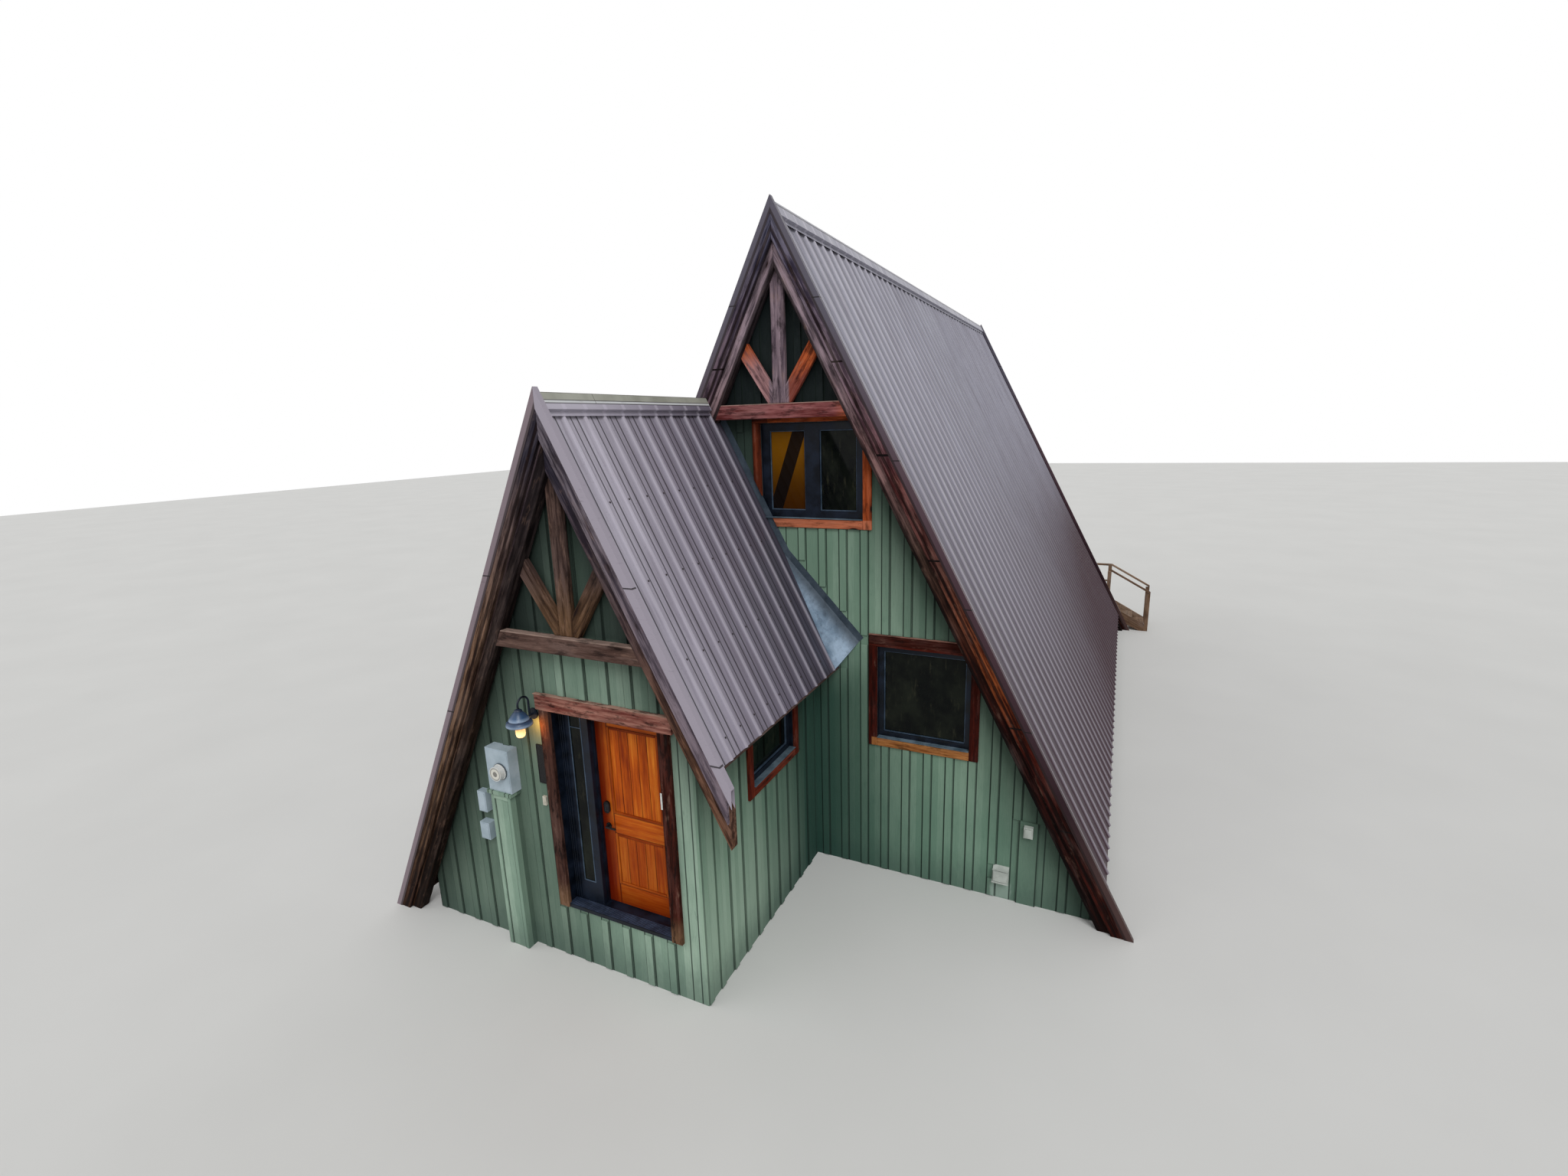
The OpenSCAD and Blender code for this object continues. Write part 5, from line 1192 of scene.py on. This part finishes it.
close(turned("lamp_bell", lamp_at, bell_rings, False), enamel, smooth=40)

jar = Finish("lamp_jar_glow", Roughness=0.25, Emission_Strength=1.5)
z = jar.axes()[2]
rise = jar.fade(z, 2.64, 2.79)
glow = jar.mix(rise, (240, 206, 140), (206, 118, 26))
glow = jar.mix(jar.fade(z, 2.662, 2.644), glow, (122, 76, 22))
glow = jar.mix(jar.fade(jar.noise(40.0, (1, 1, 0.3)), 0.5, 0.75, 0.0, 0.4), glow, (244, 220, 170))
jar.paint(Base_Color=jar.mix(rise, (226, 206, 160), (196, 150, 90)), Emission_Color=glow)
jar_rings = [(0.012, 2.638), (0.030, 2.642), (0.041, 2.654), (0.0455, 2.672)]
for k in range(4):
    jar_rings += [(0.0455, 2.680 + 0.020 * k), (0.0485, 2.686 + 0.020 * k), (0.0455, 2.692 + 0.020 * k)]
jar_rings.append((0.0440, 2.8500))
warm = lamp("lamp_glow", "AREA", 1.5, lamp_at + Vector((0.05, 0.06, 2.74)), lamp_at + Vector((0.14, 0.22, 2.66)), 0.10)
warm.data.color = (1.0, 0.36, 0.045)
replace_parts(close(turned("lamp_jar", lamp_at, jar_rings, True), jar, smooth=60), "lamp_glass")

# The power meter: a pale steel box with a lid, and two small boxes beside it. The lid and the boxes are held by
# screws at their corners.
box_coat = painted("meter_box_coat", (150, 166, 176), (170, 184, 194), 0.42, 0.25, (112, 124, 132), 5.0)
box_coat.cover("utility_boxes")
lids, edge = begin("meter_box_lids"), 0.012
for lo, hi in parts_of("utility_boxes"):
    bar((lo.x + edge, lo.y - 0.004, lo.z + edge), (hi.x - edge, lo.y, hi.z - edge))
    for x in (lo.x + 0.024, hi.x - 0.024):
        for z in (lo.z + 0.026, hi.z - 0.026):
            stud(x, lo.y - 0.005, z, 0.006, 0.004)
close(lids, box_coat, 0.0015, smooth=40)

# The meter's glass dome sits on a bright ring, with a pale dial behind the glass and a dark gasket round it.
# Each stop is where one ring of tone ends, from the middle outward, and the tone that follows it.
low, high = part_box("meter_dome")
centre = (low + high) / 2
dome = Finish("meter_dome_glass", Roughness=0.12, Specular_IOR_Level=0.6)
x, _, z = dome.axes()
dx, dz = x - centre.x, z - centre.z
reach = dome.node("ShaderNodeMath", {"operation": "SQRT"}, {0: dx * dx + dz * dz})
dial = (120, 118, 112)
for start, end, ring in ((0.026, 0.032, (208, 206, 196)), (0.056, 0.060, (150, 150, 146)),
                         (0.070, 0.073, (206, 208, 206)), (0.084, 0.089, (70, 78, 84))):
    dial = dome.mix(dome.fade(reach, start, end), dial, ring)
dome.paint(Base_Color=dome.mix(dome.fade(dome.noise(30.0), 0.55, 0.8, 0.0, 0.3), dial, (132, 132, 130)),
           Normal=dome.relief(dome.noise(50.0), 0.0005, 0.15)).cover("meter_dome")

# Below the meter the cables run down inside a chase, boarded and painted like the wall, with a sloping cap and
# boards nailed over its corners.
corner_w, corner_t, corner_foot, corner_top = 0.042, 0.012, 0.006, 1.855
left, right, front = ridge_x - 2.192, ridge_x - 1.912, face_y - 2.72
# The chase's paint carries painted shadow lines beside its corner boards.
siding("chase_paint_and_shadow", "X", left + corner_w / 2, right - left - corner_w, corner_w).cover("meter_chase")
strips = begin("chase_corner_boards")
for x in (left, right - corner_w):
    bar((x, front - corner_t, corner_foot), (x + corner_w, front, corner_top))
bar((left + corner_w, front - corner_t, corner_top - 0.050), (right - corner_w, front, corner_top))
close(strips, batten_paint_and_shade, 0.002, grained=True)

# A bare black plaque with a raised rim hangs by the door, over a pale bell push in its plate. The plaque is enamelled
# sheet on two screws, and the bell push is moulded plastic.
plaque_black = painted("plaque_enamel", (7, 7, 8), (17, 17, 19), 0.3, 0.2, (64, 64, 64), 18.0).cover("number_plaque")
low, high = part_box("number_plaque")
rim = begin("plaque_rim")
hoop(low.x, high.x, low.z, high.z, 0.007, low.y - 0.003, low.y)
for z in (low.z + 0.022, high.z - 0.022):
    stud((low.x + high.x) / 2, low.y - 0.001, z, 0.005, 0.003)
close(rim, plaque_black, 0.001, smooth=40)

bell_plastic = painted("bell_push_plastic", (176, 172, 158), (206, 202, 190), 0.45, 0.2, (130, 124, 112), 20.0)
bell_plastic.cover("doorbell")
low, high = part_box("doorbell")
button = begin("bell_push_button")
stud((low.x + high.x) / 2, low.y - 0.0015, low.z + 0.036, 0.010, 0.005, 24)
close(button, bell_plastic, 0.0015, 2, smooth=40)

# On the right of the main wall an outdoor socket in a weatherproof box hangs on a cover board, with a vent hood
# lower down. The box has a hinged lid, and the hood has a drip lip and a hinged flap, all in pale plastic.
grey_plastic = painted("socket_box_plastic", (164, 170, 164), (186, 192, 186), 0.5, 0.25, (120, 122, 114), 8.0)
grey_plastic.cover("outlet_box", "vent_hood")
low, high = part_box("outlet_cover_board")
# The cover board's paint carries a painted shadow line just inside each side edge.
siding("socket_cover_paint_and_shadow", "X", (low.x + high.x) / 2, 30.0, high.x - low.x - 0.032).cover("outlet_cover_board")
low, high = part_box("outlet_box")
lid = begin("socket_lid")
bar((low.x + 0.012, low.y - 0.010, low.z + 0.014), (high.x - 0.012, low.y, high.z - 0.020))
for x in (low.x + 0.030, high.x - 0.030):
    bpy.ops.mesh.primitive_cylinder_add(vertices=12, radius=0.004, depth=0.020,
                                        location=(x, low.y - 0.003, high.z - 0.014), rotation=(0, math.pi / 2, 0))
close(lid, grey_plastic, 0.003, 2, smooth=40)
low, high = hood_low, hood_high
flap = begin("vent_flap")
bar((low.x - 0.004, low.y - 0.006, low.z), (high.x + 0.004, low.y, low.z + 0.020))
bar((low.x + 0.012, low.y - 0.004, low.z + 0.026), (high.x - 0.012, low.y, high.z - 0.030))
bar((low.x, low.y - 0.008, high.z - 0.018), (high.x, low.y, high.z - 0.006))
close(flap, grey_plastic, 0.0025, 2)

# The rear door is out of view. It is stained timber in a navy frame, with planted mouldings and a black knob on a
# round plate.
low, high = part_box("rear_door")
rear = Finish("rear_door_paint", Roughness=0.5)
x, _, z = rear.axes()
edge = (abs(x - (low.x + high.x) / 2) > (high.x - low.x) / 2 - 0.045) | (z > high.z - 0.045)
streak = rear.noise(6.0, (14, 14, 0.7), None, 4.0, 0.6)
rear.paint(Base_Color=rear.mix(edge, rear.stain(streak, (128, 62, 30), (166, 92, 48)), (38, 50, 70)),
           Normal=rear.relief(streak, 0.002, 0.3)).cover("rear_door")
mould = begin("rear_door_mouldings")
for z0, z1 in ((low.z + 0.22, low.z + 0.86), (low.z + 1.04, high.z - 0.20)):
    hoop(low.x + 0.18, high.x - 0.18, z0, z1, 0.030, high.y, high.y + 0.012)
    hoop(low.x + 0.22, high.x - 0.22, z0 + 0.04, z1 - 0.04, 0.012, high.y, high.y + 0.006)
close(mould, moulding_wood, 0.004, 2, grained=True)
knob_x, knob_z = low.x + 0.115, low.z + 0.98
knob = begin("rear_door_knob")
stud(knob_x, high.y + 0.004, knob_z, 0.030, 0.008, 24)
stud(knob_x, high.y + 0.024, knob_z, 0.010, 0.036, 16)
ball = (knob_x, high.y + 0.050, knob_z)
bpy.ops.mesh.primitive_uv_sphere_add(segments=24, ring_count=12, radius=0.026, location=ball)
close(knob, black_metal, 0.0015, 2, smooth=40, angle=50)

# A small landing with a flight of steps and a rail stands at the rear door, of sawn softwood that was never stained
# and has weathered grey-brown. Its boards are nailed to square posts.
step_wood = timber("stair_boards", (84, 62, 48), (128, 102, 82), (164, 142, 122), 0.6, 1.0)
for name in ("rear_stair", "rear_handrail"):
    sawn(name, step_wood, 0.004)
